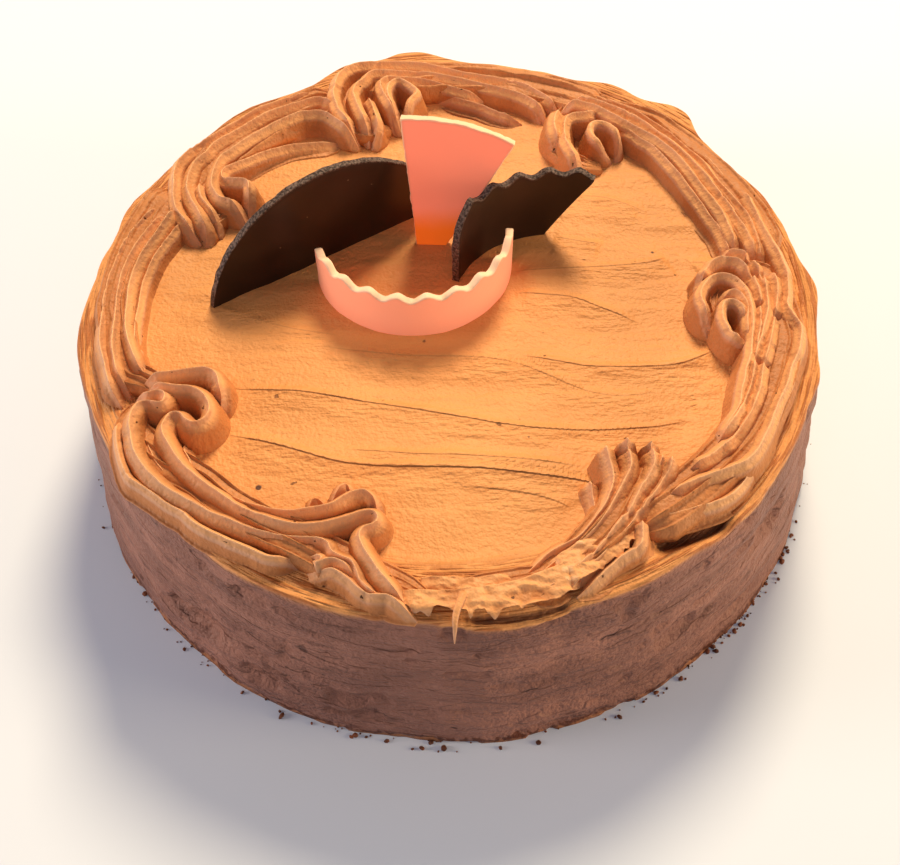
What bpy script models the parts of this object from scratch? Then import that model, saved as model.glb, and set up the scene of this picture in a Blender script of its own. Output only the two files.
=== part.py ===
# Layer cake: a frosted round cake with piped scrolls along its rim and chocolate decorations.
# Metres, +Z up. The origin is the middle of the base, and the front of the cake faces -Y.
import math

import bmesh
import bpy
from mathutils import Matrix, Vector, noise

MM = 0.001
GAP = 0.3 * MM
MERGE = 0.01 * MM

# Cake body
CAKE_HEIGHT = 55.0 * MM
TOP_RADIUS = 104.0 * MM
BASE_RADIUS = 112.5 * MM
RIM_ROUND = 1.2 * MM
BODY_SIDES = 96
TOP_RING_PITCH = 6.4 * MM
PIPING_INNER = 77.0 * MM
PIPING_OUTER = 100.5 * MM
SIDE_RINGS = 7
SWEEP_PITCH = 14.5 * MM
SWEEP_DEPTH = 1.1 * MM
SWEEP_SLANT = -0.12
SWEEP_WANDER = 0.9 * MM
SWEEP_WANDER_SCALE = 40.0
SWEEP_FADE = 6.0 * MM
SIDE_RIDGE_DEPTH = 0.5 * MM
SIDE_WAVE_TURN = 0.42
SIDE_WAVE_SWAY = 1.3

# Bulges of the rim: direction and half-width in degrees, then how far out in millimetres
RIM_BULGES = (
    (-170, 20, 2.4),
    (161, 7, 1.2),
    (131, 10, 1.5),
    (109, 8, 4.6),
    (97, 14, 7.4),
    (58, 9, 3.6),
    (46, 9, 6.0),
    (30, 10, -1.2),
    (0, 8, 2.0),
    (-18, 9, 1.4),
    (-45, 14, 1.0),
)
BULGE_START = 0.35

# Dents in the side: direction in degrees, height, half-width, half-height and depth in millimetres,
# each fading out over a number of half-widths and half-heights
SIDE_DENTS = (
    (232, 17, 9, 5, 2.4),
    (243, 12, 6, 3, 1.8),
    (256, 16, 9, 3, 1.2),
    (322, 34, 8, 5, 2.0),
    (302, 23, 6, 4, 1.4),
    (118, 30, 9, 4, 1.5),
    (20, 22, 8, 4, 1.5),
)
DENT_FADE_ALONG = 2.0
DENT_FADE_UP = 2.5

# Section of the piped icing: places across the stroke from -1 (outer side) to 1 (inner side),
# with the height there as a share of the stroke's own height
STROKE_SECTION = (
    (-1.00, 0.00),
    (-1.00, 0.42),
    (-0.80, 0.80),
    (-0.52, 0.46),
    (-0.27, 1.00),
    (0.00, 0.56),
    (0.27, 1.00),
    (0.52, 0.46),
    (0.80, 0.86),
    (1.00, 0.42),
    (1.00, 0.00),
)
FOLD_SECTION = ((-1.00, 0.00), (-0.80, 0.88), (0.00, 1.00), (0.80, 0.88), (1.00, 0.00))
BLOCK_SECTION = ((-1.00, 0.00), (-1.00, 1.50), (1.00, 1.50), (1.00, 0.00))
STROKE_HEIGHT = 8.5
FOLD_HEIGHT = 7.0
FOLD_LIFT = 0.2 * MM
RIM_STEP = math.radians(5.0)
ROUTE_STEPS = 12
STATION_SHARE = 0.62
SMOOTH_PASSES = 2
FOLD_REACH = 2.4
FOLD_SHARE = 0.45
TURN_SHARE = 0.85
WIDTH_SLOPE = 0.7
END_SHARE = 0.5
END_REACH = 5.0 * MM

# Piped scrolls. Each runs along the rim from its tail to its head, between two directions in
# degrees and at two distances from the middle, with its half-width there. It goes on through
# the points of its folded head, each given as x, y and half-width. A head is as high as given,
# and "under" names the scroll whose head lies on the tail. Lengths are in millimetres
SCROLLS = {
    "scroll_left": {
        "rim": (155, 192, 94, 94.5, 6.6),
        "head": (
            (-88.5, -29, 5.4), (-83, -33.5, 4.4), (-75, -34.5, 4.2), (-67, -35, 4.2),
            (-63, -35.5, 3.0),
        ),
        "height": 8.0,
        "under": "scroll_upper_left",
    },
    "scroll_upper_left": {
        "rim": (114, 150, 89.5, 89, 8.2),
        "head": (
            (-81.5, 36, 6.0), (-79, 29, 4.8), (-74, 26, 4.0), (-67, 28, 3.4),
            (-63.5, 34.5, 2.8), (-67, 40.5, 2.4), (-71, 38.5, 1.8),
        ),
        "height": 9.5,
        "under": "scroll_top",
    },
    "scroll_top": {
        "rim": (56, 103, 90, 91, 8.2),
        "head": (
            (-30.5, 89, 6.8), (-34, 78, 5.4), (-31.5, 68, 4.4), (-26, 64, 3.8), (-20.5, 68, 3.4),
            (-19.5, 76, 3.0), (-15.5, 82, 2.6), (-10.5, 80, 2.2), (-11.5, 74.5, 1.8),
        ),
        "height": 10.0,
        "under": "scroll_upper_right",
    },
    "scroll_upper_right": {
        "rim": (6, 52, 92, 90.5, 8.2),
        "head": (
            (45.5, 76, 6.8), (35.5, 73, 4.6), (32.5, 63.5, 4.0), (34.5, 54, 3.6), (40, 50.5, 3.2),
            (43.5, 56, 2.8), (47, 62.5, 2.6), (53, 62.5, 2.4), (55, 56, 2.2), (50.5, 52.5, 1.8),
        ),
        "height": 10.0,
        "under": "scroll_right",
    },
    "scroll_right": {
        "rim": (-60, -8, 92, 94, 7.0),
        "head": (
            (90, -1, 6.4), (84, 3, 4.8), (77, 1, 3.8), (74.5, -6, 3.2), (75.5, -13, 2.8),
            (78, -20.5, 2.4), (83, -21, 2.0), (84, -16, 1.6),
        ),
        "height": 10.0,
        "under": "scroll_front_right",
    },
    "scroll_front_right": {
        "rim": (271, 289, 97.5, 96, 4.6),
        "head": ((37, -81, 6.0), (43.5, -71, 6.8), (47.0, -63, 7.8), (48.0, -60, 7.6)),
        "height": 9.0,
    },
    "scroll_front_left": {
        "rim": (246, 221, 94.5, 95, 7.4),
        "head": (
            (-79, -53.5, 6.6), (-81.5, -46.5, 4.8), (-75.5, -43, 3.4), (-67.5, -43, 2.8),
            (-65, -48, 2.4),
        ),
        "tail": ((-5.5, -98.5, 2.6), (-13, -94.5, 3.6), (-23, -90.5, 5.4)),
        "height": 9.5,
    },
}

# Thin folds that stand beside a scroll and are joined to it: points of x, y and half-width
FOLDS = {
    "scroll_front_left": (
        (
            (-46, -79, 2.0), (-36, -79.5, 2.0), (-27, -78, 2.0), (-20.5, -76, 2.0),
            (-19.5, -81, 2.0), (-22, -87, 2.0),
        ),
        ((-41, -78, 1.0), (-34.5, -74.5, 1.0), (-30, -70, 0.8)),
    ),
}

# Pointed tips that the front right scroll was pulled up into: x, y, lean sideways and length
PULLED_TIPS = {
    "scroll_front_right": (
        (42.0, -62.0, -2.5, 10.0),
        (46.5, -60.5, -0.5, 12.0),
        (51.0, -60.5, 1.0, 10.5),
        (54.0, -63.0, 3.0, 8.5),
    ),
}
TIP_RADIUS = 2.2 * MM
TIP_SIDES = 8
TIP_START = 2.0 * MM
TIP_POINT_SHARE = 0.1
TIP_LEAN_BACK = 0.25

# Pointed drip that hangs over the front edge: x, y and height over the frosting
DRIPS = {
    "scroll_front_right": (
        (3.5, -97.0, 3.0), (2.0, -102.0, 3.4), (0.6, -106.0, 2.2), (0.1, -107.2, -0.8),
        (0.0, -107.4, -3.4),
    ),
}
DRIP_RADIUS = 1.3 * MM
DRIP_TAPER = 0.8

# Chocolate decorations, pressed into the frosting
SINK = 4.0 * MM
DARK_THICKNESS = 2.0 * MM
PINK_THICKNESS = 2.2 * MM
ARC_STEPS = 40

# Half moon: part of a disc that stands upright
MOON_RADIUS = 39.5 * MM
MOON_CENTRE_DROP = 7.6 * MM
MOON_START = (-66.9, -4.0)
MOON_CENTRE_REACH = 37.0 * MM
MOON_DIRECTION = math.radians(32.2)

# Wedge: a sector of a disc, point down, that leans back
WEDGE_RADIUS = 56.0 * MM
WEDGE_APEX_DROP = 14.3 * MM
WEDGE_APEX_ACROSS = 1.3 * MM
WEDGE_FOOT = (-9.8, 19.4)
WEDGE_SPREAD = (-5.8, 28.2)
WEDGE_TURN = math.radians(-5.0)
WEDGE_LEAN = math.radians(11.0)

# Bent strips with a scalloped top: bend centre in millimetres, bend radius of the face that
# was measured, directions of both ends in degrees
SCALLOP_PITCH = 8.5 * MM
SCALLOP_DEPTH = 1.1 * MM
STRIP_STEPS = 44
CRESCENT_CENTRE = (-10.6, 11.1)
CRESCENT_RADIUS = 28.7 * MM
CRESCENT_ENDS = (194.0, 361.0)
CRESCENT_HEIGHT = 15.2 * MM
CRESCENT_END_DROP = 2.2 * MM
FAN_CENTRE = (31.2, -9.1)
FAN_RADIUS = 31.3 * MM
FAN_ENDS = (157.5, 71.5)
FAN_HEIGHT = 24.0 * MM
FAN_END_DROP = 9.0 * MM
FAN_POINT_DROP = 2.0 * MM
FAN_FOOT_END = 94.8
END_ROUND = 4.0 * MM


def clear_scene():
    for item in list(bpy.data.objects):
        bpy.data.objects.remove(item, do_unlink=True)


def new_collection(name):
    collection = bpy.data.collections.new(name)
    bpy.context.scene.collection.children.link(collection)
    return collection


def new_material(name, colour, roughness):
    material = bpy.data.materials.new(name)
    material.use_nodes = True
    shader = material.node_tree.nodes["Principled BSDF"]
    shader.inputs["Base Color"].default_value = (*colour, 1.0)
    shader.inputs["Roughness"].default_value = roughness
    shader.inputs["Metallic"].default_value = 0.0
    material.diffuse_color = (*colour, 1.0)
    return material


def add_object(name, mesh, collection, material=None):
    item = bpy.data.objects.new(name, mesh)
    collection.objects.link(item)
    if material is not None:
        mesh.materials.append(material)
    return item


def curve_mesh(name, curve):
    drawn = add_object(name, curve, bpy.context.scene.collection)
    mesh = evaluated_mesh(drawn)
    bpy.data.objects.remove(drawn, do_unlink=True)
    mesh.name = name
    return mesh


def tidy_mesh(mesh, place=None):
    # Joins the corners that fall together, moves the mesh to its place and turns its faces out
    shape = bmesh.new()
    shape.from_mesh(mesh)
    bmesh.ops.remove_doubles(shape, verts=shape.verts, dist=MERGE)
    if place is not None:
        bmesh.ops.transform(shape, matrix=place, verts=shape.verts)
    bmesh.ops.recalc_face_normals(shape, faces=shape.faces)
    shape.to_mesh(mesh)
    shape.free()
    return mesh


def mesh_from(name, build):
    mesh = bpy.data.meshes.new(name)
    shape = bmesh.new()
    build(shape)
    bmesh.ops.recalc_face_normals(shape, faces=shape.faces)
    shape.to_mesh(mesh)
    shape.free()
    return mesh


def evaluated_mesh(item):
    bpy.context.view_layer.update()
    depsgraph = bpy.context.evaluated_depsgraph_get()
    return bpy.data.meshes.new_from_object(item.evaluated_get(depsgraph))


def smooth_shading(item, degrees=35.0):
    item.data.shade_smooth()
    item.data.set_sharp_from_angle(angle=math.radians(degrees))


def hide_cutter(item):
    item.hide_render = True
    item.display_type = "WIRE"


def cut_with(item, cutter):
    modifier = item.modifiers.new("Cut", "BOOLEAN")
    modifier.operation = "DIFFERENCE"
    modifier.object = cutter
    modifier.solver = "MANIFOLD"


def bump(distance, reach):
    share = min(abs(distance) / reach, 1.0)
    return (1.0 + math.cos(math.pi * share)) / 2.0


def turn_between(angle, direction):
    return (angle - direction + 180.0) % 360.0 - 180.0


# Cake body

def body_profile():
    radii = []
    rings = round(PIPING_INNER / TOP_RING_PITCH)
    for ring in range(rings + 1):
        radii.append(PIPING_INNER * ring / rings)
    radii.append((PIPING_INNER + PIPING_OUTER) / 2.0)
    radii.append(PIPING_OUTER)
    points = [(radius, CAKE_HEIGHT) for radius in radii]
    points.append((TOP_RADIUS - RIM_ROUND, CAKE_HEIGHT))
    points.append((TOP_RADIUS, CAKE_HEIGHT - RIM_ROUND))
    for ring in range(1, SIDE_RINGS + 1):
        height = (CAKE_HEIGHT - RIM_ROUND) * (1.0 - ring / SIDE_RINGS)
        points.append((side_radius(height), height))
    points.append((0.0, 0.0))
    return points


def side_radius(height):
    return BASE_RADIUS + (TOP_RADIUS - BASE_RADIUS) * height / CAKE_HEIGHT


def sweep_relief(x, y, radius):
    # Long strokes of a palette knife, each a shallow hollow; they end at the piping
    wander = SWEEP_WANDER * noise.noise(Vector((x, y, 0.0)) * SWEEP_WANDER_SCALE)
    across = (y - SWEEP_SLANT * x + wander) / SWEEP_PITCH
    share = across - math.floor(across)
    inside = min(max((PIPING_INNER - radius) / SWEEP_FADE, 0.0), 1.0)
    return -SWEEP_DEPTH * math.sin(math.pi * share) ** 2 * inside


def rim_bulge(angle):
    bulge = 0.0
    for direction, reach, out in RIM_BULGES:
        bulge += out * MM * bump(turn_between(angle, direction), reach)
    return bulge


def side_relief(angle, height):
    wave = math.sin(height / MM * SIDE_WAVE_TURN + SIDE_WAVE_SWAY * math.sin(math.radians(angle * 2.0)))
    depth = -SIDE_RIDGE_DEPTH * (0.5 + 0.5 * wave)
    for direction, level, half_width, half_height, dent in SIDE_DENTS:
        along = math.radians(turn_between(angle, direction)) * side_radius(height)
        fade_along = bump(along, DENT_FADE_ALONG * half_width * MM)
        fade_up = bump(height - level * MM, DENT_FADE_UP * half_height * MM)
        depth -= dent * MM * fade_along * fade_up
    return depth


def shape_body(shape):
    for vertex in shape.verts:
        x, y, z = vertex.co
        radius = math.hypot(x, y)
        if radius < MERGE:
            continue
        angle = math.degrees(math.atan2(y, x))
        if z > CAKE_HEIGHT - MERGE and radius < PIPING_INNER + MERGE:
            vertex.co.z += sweep_relief(x, y, radius)
        if radius < PIPING_OUTER + MERGE:
            continue
        upper = max(z / CAKE_HEIGHT - BULGE_START, 0.0) / (1.0 - BULGE_START)
        push = rim_bulge(angle) * upper
        if MERGE < z < CAKE_HEIGHT - RIM_ROUND - MERGE:
            push += side_relief(angle, z)
        vertex.co.x *= (radius + push) / radius
        vertex.co.y *= (radius + push) / radius


def make_body(collection, guides, material):
    def draw_profile(shape):
        corners = [shape.verts.new((radius, 0.0, height)) for radius, height in body_profile()]
        for start, end in zip(corners, corners[1:]):
            shape.edges.new((start, end))

    profile = add_object("body_profile", mesh_from("body_profile", draw_profile), guides)
    screw = profile.modifiers.new("Turn", "SCREW")
    screw.steps = BODY_SIDES
    screw.render_steps = BODY_SIDES
    screw.use_merge_vertices = True
    screw.merge_threshold = MERGE
    turned = evaluated_mesh(profile)
    bpy.data.objects.remove(profile, do_unlink=True)
    shape = bmesh.new()
    shape.from_mesh(turned)
    shape_body(shape)
    bmesh.ops.recalc_face_normals(shape, faces=shape.faces)
    shape.to_mesh(turned)
    shape.free()
    turned.name = "cake_body"
    body = add_object("cake_body", turned, collection, material)
    smooth_shading(body)
    return body


# Piped scrolls

def smooth_route(points, steps):
    # Catmull-Rom curve through points that hold x, y, half-width and height
    ends = [points[0] * 2.0 - points[1]] + points + [points[-1] * 2.0 - points[-2]]
    route = []
    for before, start, end, after in zip(ends, ends[1:], ends[2:], ends[3:]):
        for step in range(steps):
            t = step / steps
            bend = (2.0 * before - 5.0 * start + 4.0 * end - after) * t * t
            bend += (3.0 * start - before - 3.0 * end + after) * t * t * t
            route.append((2.0 * start + (end - before) * t + bend) / 2.0)
    route.append(points[-1].copy())
    return route


def even_route(route):
    # Places the stations at a share of the stroke's own width, so that tight folds get more
    stations = [route[0]]
    travelled = 0.0
    for before, after in zip(route, route[1:]):
        travelled += (after.xy - before.xy).length
        if travelled >= STATION_SHARE * after.z:
            stations.append(after)
            travelled = 0.0
    if travelled > 0.0:
        stations[-1] = route[-1]
    for _ in range(SMOOTH_PASSES):
        inner = [(before + place * 2.0 + after) / 4.0
                 for before, place, after in zip(stations, stations[1:], stations[2:])]
        stations = [stations[0]] + inner + [stations[-1]]
    return stations


def rim_points(scroll):
    tail, head, tail_radius, head_radius, half_width = scroll["rim"]
    count = max(3, round(abs(math.radians(head - tail)) / RIM_STEP))
    points = []
    for step in range(count):
        share = step / count
        angle = math.radians(tail + (head - tail) * share)
        radius = tail_radius + (head_radius - tail_radius) * share
        x = radius * math.cos(angle)
        y = radius * math.sin(angle)
        points.append(Vector((x, y, half_width, STROKE_HEIGHT)) * MM)
    return points


def scroll_route(scroll):
    points = [Vector((*point, FOLD_HEIGHT)) * MM for point in scroll.get("tail", ())]
    points += rim_points(scroll)
    points += [Vector((*point, scroll["height"])) * MM for point in scroll["head"]]
    return even_route(smooth_route(points, ROUTE_STEPS))


def route_lengths(route):
    lengths = [0.0]
    for before, after in zip(route, route[1:]):
        lengths.append(lengths[-1] + (after.xy - before.xy).length)
    return lengths


def fitted_widths(route, lengths):
    # Half-widths left and right of the stroke, narrowed so that its folds lie beside one another
    sides = ([], [])
    last = len(route) - 1
    for index, place in enumerate(route):
        width = place.z
        for other, across in enumerate(route):
            if abs(lengths[other] - lengths[index]) > FOLD_REACH * place.z:
                width = min(width, FOLD_SHARE * (across.xy - place.xy).length)
        entering = place.xy - route[max(index - 1, 0)].xy
        leaving = route[min(index + 1, last)].xy - place.xy
        bend = entering.angle_signed(leaving, 0.0) if 0 < index < last else 0.0
        radius = (entering.length + leaving.length) / 2.0 / max(abs(bend), 0.001)
        for side, widths in enumerate(sides):
            is_inner = (bend < 0.0) == (side == 0)
            widths.append(min(width, TURN_SHARE * radius) if is_inner else width)
    for widths in sides:
        for order in (range(1, len(route)), range(len(route) - 2, -1, -1)):
            for index in order:
                beside = index - order.step
                step = abs(lengths[index] - lengths[beside])
                widths[index] = min(widths[index], widths[beside] + WIDTH_SLOPE * step)
    return sides


def stroke_sections(route, outline=STROKE_SECTION, lift=0.0, clear=0.0):
    sections = []
    last = len(route) - 1
    lengths = route_lengths(route)
    left_halves, right_halves = fitted_widths(route, lengths)
    for index, place in enumerate(route):
        along = route[min(index + 1, last)].xy - route[max(index - 1, 0)].xy
        left = Vector((-along.y, along.x)).normalized()
        from_end = min(lengths[index], lengths[-1] - lengths[index])
        height = place.w * (END_SHARE + (1.0 - END_SHARE) * min(from_end / END_REACH, 1.0))
        section = []
        for across, share in outline:
            half = (left_halves[index] if across > 0.0 else right_halves[index]) + clear
            spot = place.xy + left * (across * half)
            level = GAP + lift - 2.0 * clear + share * (height - lift)
            section.append(Vector((spot.x, spot.y, CAKE_HEIGHT + level)))
        sections.append(section)
    return sections


def loft(shape, sections):
    rings = [[shape.verts.new(point) for point in section] for section in sections]
    count = len(rings[0])
    for ring, following in zip(rings, rings[1:]):
        for corner in range(count):
            beside = (corner + 1) % count
            shape.faces.new((ring[corner], ring[beside], following[beside], following[corner]))
    shape.faces.new(rings[0])
    shape.faces.new(reversed(rings[-1]))
    bmesh.ops.triangulate(shape, faces=shape.faces)


def scroll_mesh(name):
    route = scroll_route(SCROLLS[name])
    return mesh_from(name, lambda shape: loft(shape, stroke_sections(route)))


def block_mesh(name):
    # The ground that a scroll covers, as a tall block that clears what ends under it
    route = scroll_route(SCROLLS[name])
    return mesh_from(name, lambda shape: loft(shape, stroke_sections(route, BLOCK_SECTION, clear=GAP)))


def fold_mesh(name, points):
    points = [Vector((*point, FOLD_HEIGHT)) * MM for point in points]
    route = even_route(smooth_route(points, ROUTE_STEPS))
    return mesh_from(name, lambda shape: loft(shape, stroke_sections(route, FOLD_SECTION, FOLD_LIFT)))


def tip_mesh(name, tip):
    x, y, lean, length = tip

    def draw_tip(shape):
        bmesh.ops.create_cone(shape, cap_ends=True, segments=TIP_SIDES, radius1=TIP_RADIUS,
                              radius2=TIP_POINT_SHARE * TIP_RADIUS, depth=length * MM)
        for vertex in shape.verts:
            rise = vertex.co.z + length * MM / 2.0
            share = rise / (length * MM)
            vertex.co.x += x * MM + lean * MM * share ** 2
            vertex.co.y += y * MM + TIP_LEAN_BACK * rise
            vertex.co.z = CAKE_HEIGHT + TIP_START + rise

    return mesh_from(name, draw_tip)


def drip_mesh(name, route):
    curve = bpy.data.curves.new(name, "CURVE")
    curve.dimensions = "3D"
    curve.bevel_depth = DRIP_RADIUS
    curve.bevel_resolution = 1
    curve.use_fill_caps = True
    spline = curve.splines.new("POLY")
    spline.points.add(len(route) - 1)
    for index, (x, y, level) in enumerate(route):
        spline.points[index].co = (x * MM, y * MM, CAKE_HEIGHT + level * MM, 1.0)
        spline.points[index].radius = 1.0 - DRIP_TAPER * index / (len(route) - 1)
    return tidy_mesh(curve_mesh(name, curve))


def keep_largest_body(mesh):
    # Drops the loose scraps that a cut leaves
    shape = bmesh.new()
    shape.from_mesh(mesh)
    waiting = set(shape.verts)
    bodies = []
    while waiting:
        body = set()
        found = [waiting.pop()]
        while found:
            vertex = found.pop()
            body.add(vertex)
            for edge in vertex.link_edges:
                other = edge.other_vert(vertex)
                if other in waiting:
                    waiting.remove(other)
                    found.append(other)
        bodies.append(body)
    bodies.sort(key=len)
    for body in bodies[:-1]:
        bmesh.ops.delete(shape, geom=list(body), context="VERTS")
    shape.to_mesh(mesh)
    shape.free()


def make_scroll(name, collection, material):
    item = add_object(name, scroll_mesh(name), collection, material)
    helpers = []
    extras = [fold_mesh(name + "_fold", points) for points in FOLDS.get(name, ())]
    extras += [tip_mesh(name + "_tip", tip) for tip in PULLED_TIPS.get(name, ())]
    if name in DRIPS:
        extras.append(drip_mesh(name + "_drip", DRIPS[name]))
    if extras:
        joined = new_collection(name + "_extras")
        helpers = [add_object(mesh.name, mesh, joined, material) for mesh in extras]
        union = item.modifiers.new("Join", "BOOLEAN")
        union.operation = "UNION"
        union.operand_type = "COLLECTION"
        union.collection = joined
        union.solver = "MANIFOLD"
    if "under" in SCROLLS[name]:
        block = block_mesh(SCROLLS[name]["under"])
        upper = add_object(name + "_cut", block, bpy.context.scene.collection, material)
        helpers.append(upper)
        cut_with(item, upper)
    if helpers:
        mesh = evaluated_mesh(item)
        keep_largest_body(mesh)
        mesh.name = name
        item.modifiers.clear()
        item.data = mesh
    for helper in helpers:
        bpy.data.objects.remove(helper, do_unlink=True)
    smooth_shading(item)


# Chocolate decorations

def flat_piece(name, outline, thickness, place):
    curve = bpy.data.curves.new(name, "CURVE")
    curve.dimensions = "2D"
    curve.fill_mode = "BOTH"
    curve.extrude = thickness / 2.0
    spline = curve.splines.new("POLY")
    spline.points.add(len(outline) - 1)
    for point, (across, up) in zip(spline.points, outline):
        point.co = (across, up, 0.0, 1.0)
    spline.use_cyclic_u = True
    return tidy_mesh(curve_mesh(name, curve), place)


def upright(foot, direction, lean=0.0):
    # Turns a flat outline (x across, y up) to stand on the frosting at a foot point
    turn = Matrix.Rotation(direction, 4, "Z") @ Matrix.Rotation(math.pi / 2.0 - lean, 4, "X")
    return Matrix.Translation((foot[0] * MM, foot[1] * MM, CAKE_HEIGHT)) @ turn


def moon_mesh(name, clear):
    # The chord lies under the surface, so only the arc and the chord are drawn
    radius = MOON_RADIUS + clear
    bottom = -SINK - clear
    half_angle = math.acos((bottom + MOON_CENTRE_DROP) / radius)
    outline = []
    for step in range(ARC_STEPS + 1):
        angle = half_angle * (1.0 - 2.0 * step / ARC_STEPS)
        across = MOON_CENTRE_REACH + radius * math.sin(angle)
        outline.append((across, radius * math.cos(angle) - MOON_CENTRE_DROP))
    return flat_piece(name, outline, DARK_THICKNESS + 2.0 * clear, upright(MOON_START, MOON_DIRECTION))


def wedge_mesh(name, clear):
    bottom = -SINK - clear
    left, right = (math.radians(value) for value in WEDGE_SPREAD)
    rise = bottom + WEDGE_APEX_DROP
    middle = WEDGE_APEX_ACROSS
    outline = [
        (middle + rise * math.tan(left) - clear, bottom),
        (middle + rise * math.tan(right) + clear, bottom),
    ]
    for step in range(ARC_STEPS // 2 + 1):
        angle = right + (left - right) * step / (ARC_STEPS // 2)
        side = clear if angle > 0.0 else -clear
        reach = WEDGE_RADIUS + clear
        outline.append((middle + reach * math.sin(angle) + side, reach * math.cos(angle) - WEDGE_APEX_DROP))
    place = upright(WEDGE_FOOT, WEDGE_TURN, WEDGE_LEAN)
    return flat_piece(name, outline, PINK_THICKNESS + 2.0 * clear, place)


def scallop(distance):
    return SCALLOP_DEPTH * math.cos(2.0 * math.pi * distance / SCALLOP_PITCH)


def crescent_edges(share, length):
    from_end = min(share, 1.0 - share) * length
    rounding = max(1.0 - from_end / END_ROUND, 0.0)
    top = CRESCENT_HEIGHT + scallop(share * length) * (1.0 - rounding) - CRESCENT_END_DROP * rounding ** 2
    return -SINK, top


def fan_edges(share, length):
    angle = FAN_ENDS[0] + (FAN_ENDS[1] - FAN_ENDS[0]) * share
    rounding = max(1.0 - share * length / (2.0 * END_ROUND), 0.0)
    top = FAN_HEIGHT + scallop(share * length) * (1.0 - rounding) - FAN_END_DROP * rounding ** 2
    slope = (FAN_HEIGHT - FAN_POINT_DROP) / (FAN_FOOT_END - FAN_ENDS[1])
    return max(-SINK, (FAN_FOOT_END - angle) * slope), top


def bent_strip(name, centre, radius, ends, edges, thickness, clear, outward):
    # An open upright surface along an arc, thickened away from the measured face
    length = math.radians(abs(ends[1] - ends[0])) * radius
    spare = math.degrees(clear / radius) * (1.0 if ends[1] > ends[0] else -1.0)

    def draw_strip(shape):
        columns = []
        for step in range(STRIP_STEPS + 1):
            share = step / STRIP_STEPS
            angle = math.radians(ends[0] - spare + (ends[1] - ends[0] + 2.0 * spare) * share)
            low, high = edges(share, length)
            x = centre[0] * MM + radius * math.cos(angle)
            y = centre[1] * MM + radius * math.sin(angle)
            bottom = shape.verts.new((x, y, CAKE_HEIGHT + low - clear))
            columns.append((bottom, shape.verts.new((x, y, CAKE_HEIGHT + high + clear))))
        for column, following in zip(columns, columns[1:]):
            shape.faces.new((column[0], following[0], following[1], column[1]))

    strip = add_object(name, mesh_from(name, draw_strip), bpy.context.scene.collection)
    strip.data.update()
    facing = strip.data.polygons[STRIP_STEPS // 2]
    away = Vector((facing.center.x - centre[0] * MM, facing.center.y - centre[1] * MM, 0.0))
    points_out = facing.normal.dot(away) > 0.0
    solid = strip.modifiers.new("Thickness", "SOLIDIFY")
    solid.thickness = thickness + 2.0 * clear
    solid.offset = -1.0 if points_out != outward else 1.0
    solid.offset *= thickness / (thickness + 2.0 * clear)
    mesh = evaluated_mesh(strip)
    bpy.data.objects.remove(strip, do_unlink=True)
    mesh.name = name
    return tidy_mesh(mesh)


def crescent_mesh(name, clear):
    return bent_strip(name, CRESCENT_CENTRE, CRESCENT_RADIUS, CRESCENT_ENDS, crescent_edges,
                      PINK_THICKNESS, clear, outward=False)


def fan_mesh(name, clear):
    return bent_strip(name, FAN_CENTRE, FAN_RADIUS, FAN_ENDS, fan_edges, DARK_THICKNESS, clear, outward=True)


def make_decorations(body, collection, cutters, frosting, dark, pink):
    makers = {
        "chocolate_half_moon": (moon_mesh, dark),
        "chocolate_wedge": (wedge_mesh, pink),
        "chocolate_fan": (fan_mesh, dark),
        "chocolate_crescent": (crescent_mesh, pink),
    }
    for name, (maker, material) in makers.items():
        add_object(name, maker(name, 0.0), collection, material)
        cutter = add_object(name + "_slot", maker(name + "_slot", GAP), cutters, frosting)
        hide_cutter(cutter)
        cut_with(body, cutter)


def main():
    clear_scene()
    parts = new_collection("layer_cake")
    cutters = new_collection("cutters")
    frosting = new_material("chocolate_frosting", (0.58, 0.27, 0.11), 0.62)
    piping = new_material("piped_frosting", (0.50, 0.23, 0.10), 0.6)
    dark = new_material("dark_chocolate", (0.035, 0.014, 0.008), 0.35)
    pink = new_material("pink_chocolate", (0.90, 0.30, 0.22), 0.4)
    body = make_body(parts, cutters, frosting)
    for name in SCROLLS:
        make_scroll(name, parts, piping)
    make_decorations(body, parts, cutters, frosting, dark, pink)


main()
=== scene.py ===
import math

import bmesh
import bpy
import numpy as np
from mathutils import Matrix, Vector


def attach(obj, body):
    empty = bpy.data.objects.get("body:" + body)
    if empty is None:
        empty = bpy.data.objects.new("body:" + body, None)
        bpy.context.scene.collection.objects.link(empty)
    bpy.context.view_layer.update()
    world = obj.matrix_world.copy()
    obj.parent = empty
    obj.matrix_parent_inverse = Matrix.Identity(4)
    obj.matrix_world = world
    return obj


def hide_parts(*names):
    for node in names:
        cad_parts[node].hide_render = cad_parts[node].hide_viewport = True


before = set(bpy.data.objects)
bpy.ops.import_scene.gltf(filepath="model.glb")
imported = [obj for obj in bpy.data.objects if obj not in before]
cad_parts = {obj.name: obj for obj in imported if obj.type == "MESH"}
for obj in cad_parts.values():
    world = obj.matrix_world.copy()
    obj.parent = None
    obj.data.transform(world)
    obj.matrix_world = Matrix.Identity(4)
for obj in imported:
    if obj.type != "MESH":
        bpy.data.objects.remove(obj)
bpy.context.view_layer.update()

mm = 0.001


# noise and curves

def cornerValues(i, j, k, seed):  # a repeatable number from -1 to 1 at each corner of a lattice
    low = np.int64(0xFFFFFFFF)
    mixed = (i * 374761393 + j * 668265263 + k * 2246822519 + seed * 3266489917) & low
    mixed = ((mixed ^ (mixed >> 13)) * 1274126177) & low
    return ((mixed ^ (mixed >> 16)) & 0xFFFF) / 32767.5 - 1.0


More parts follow.
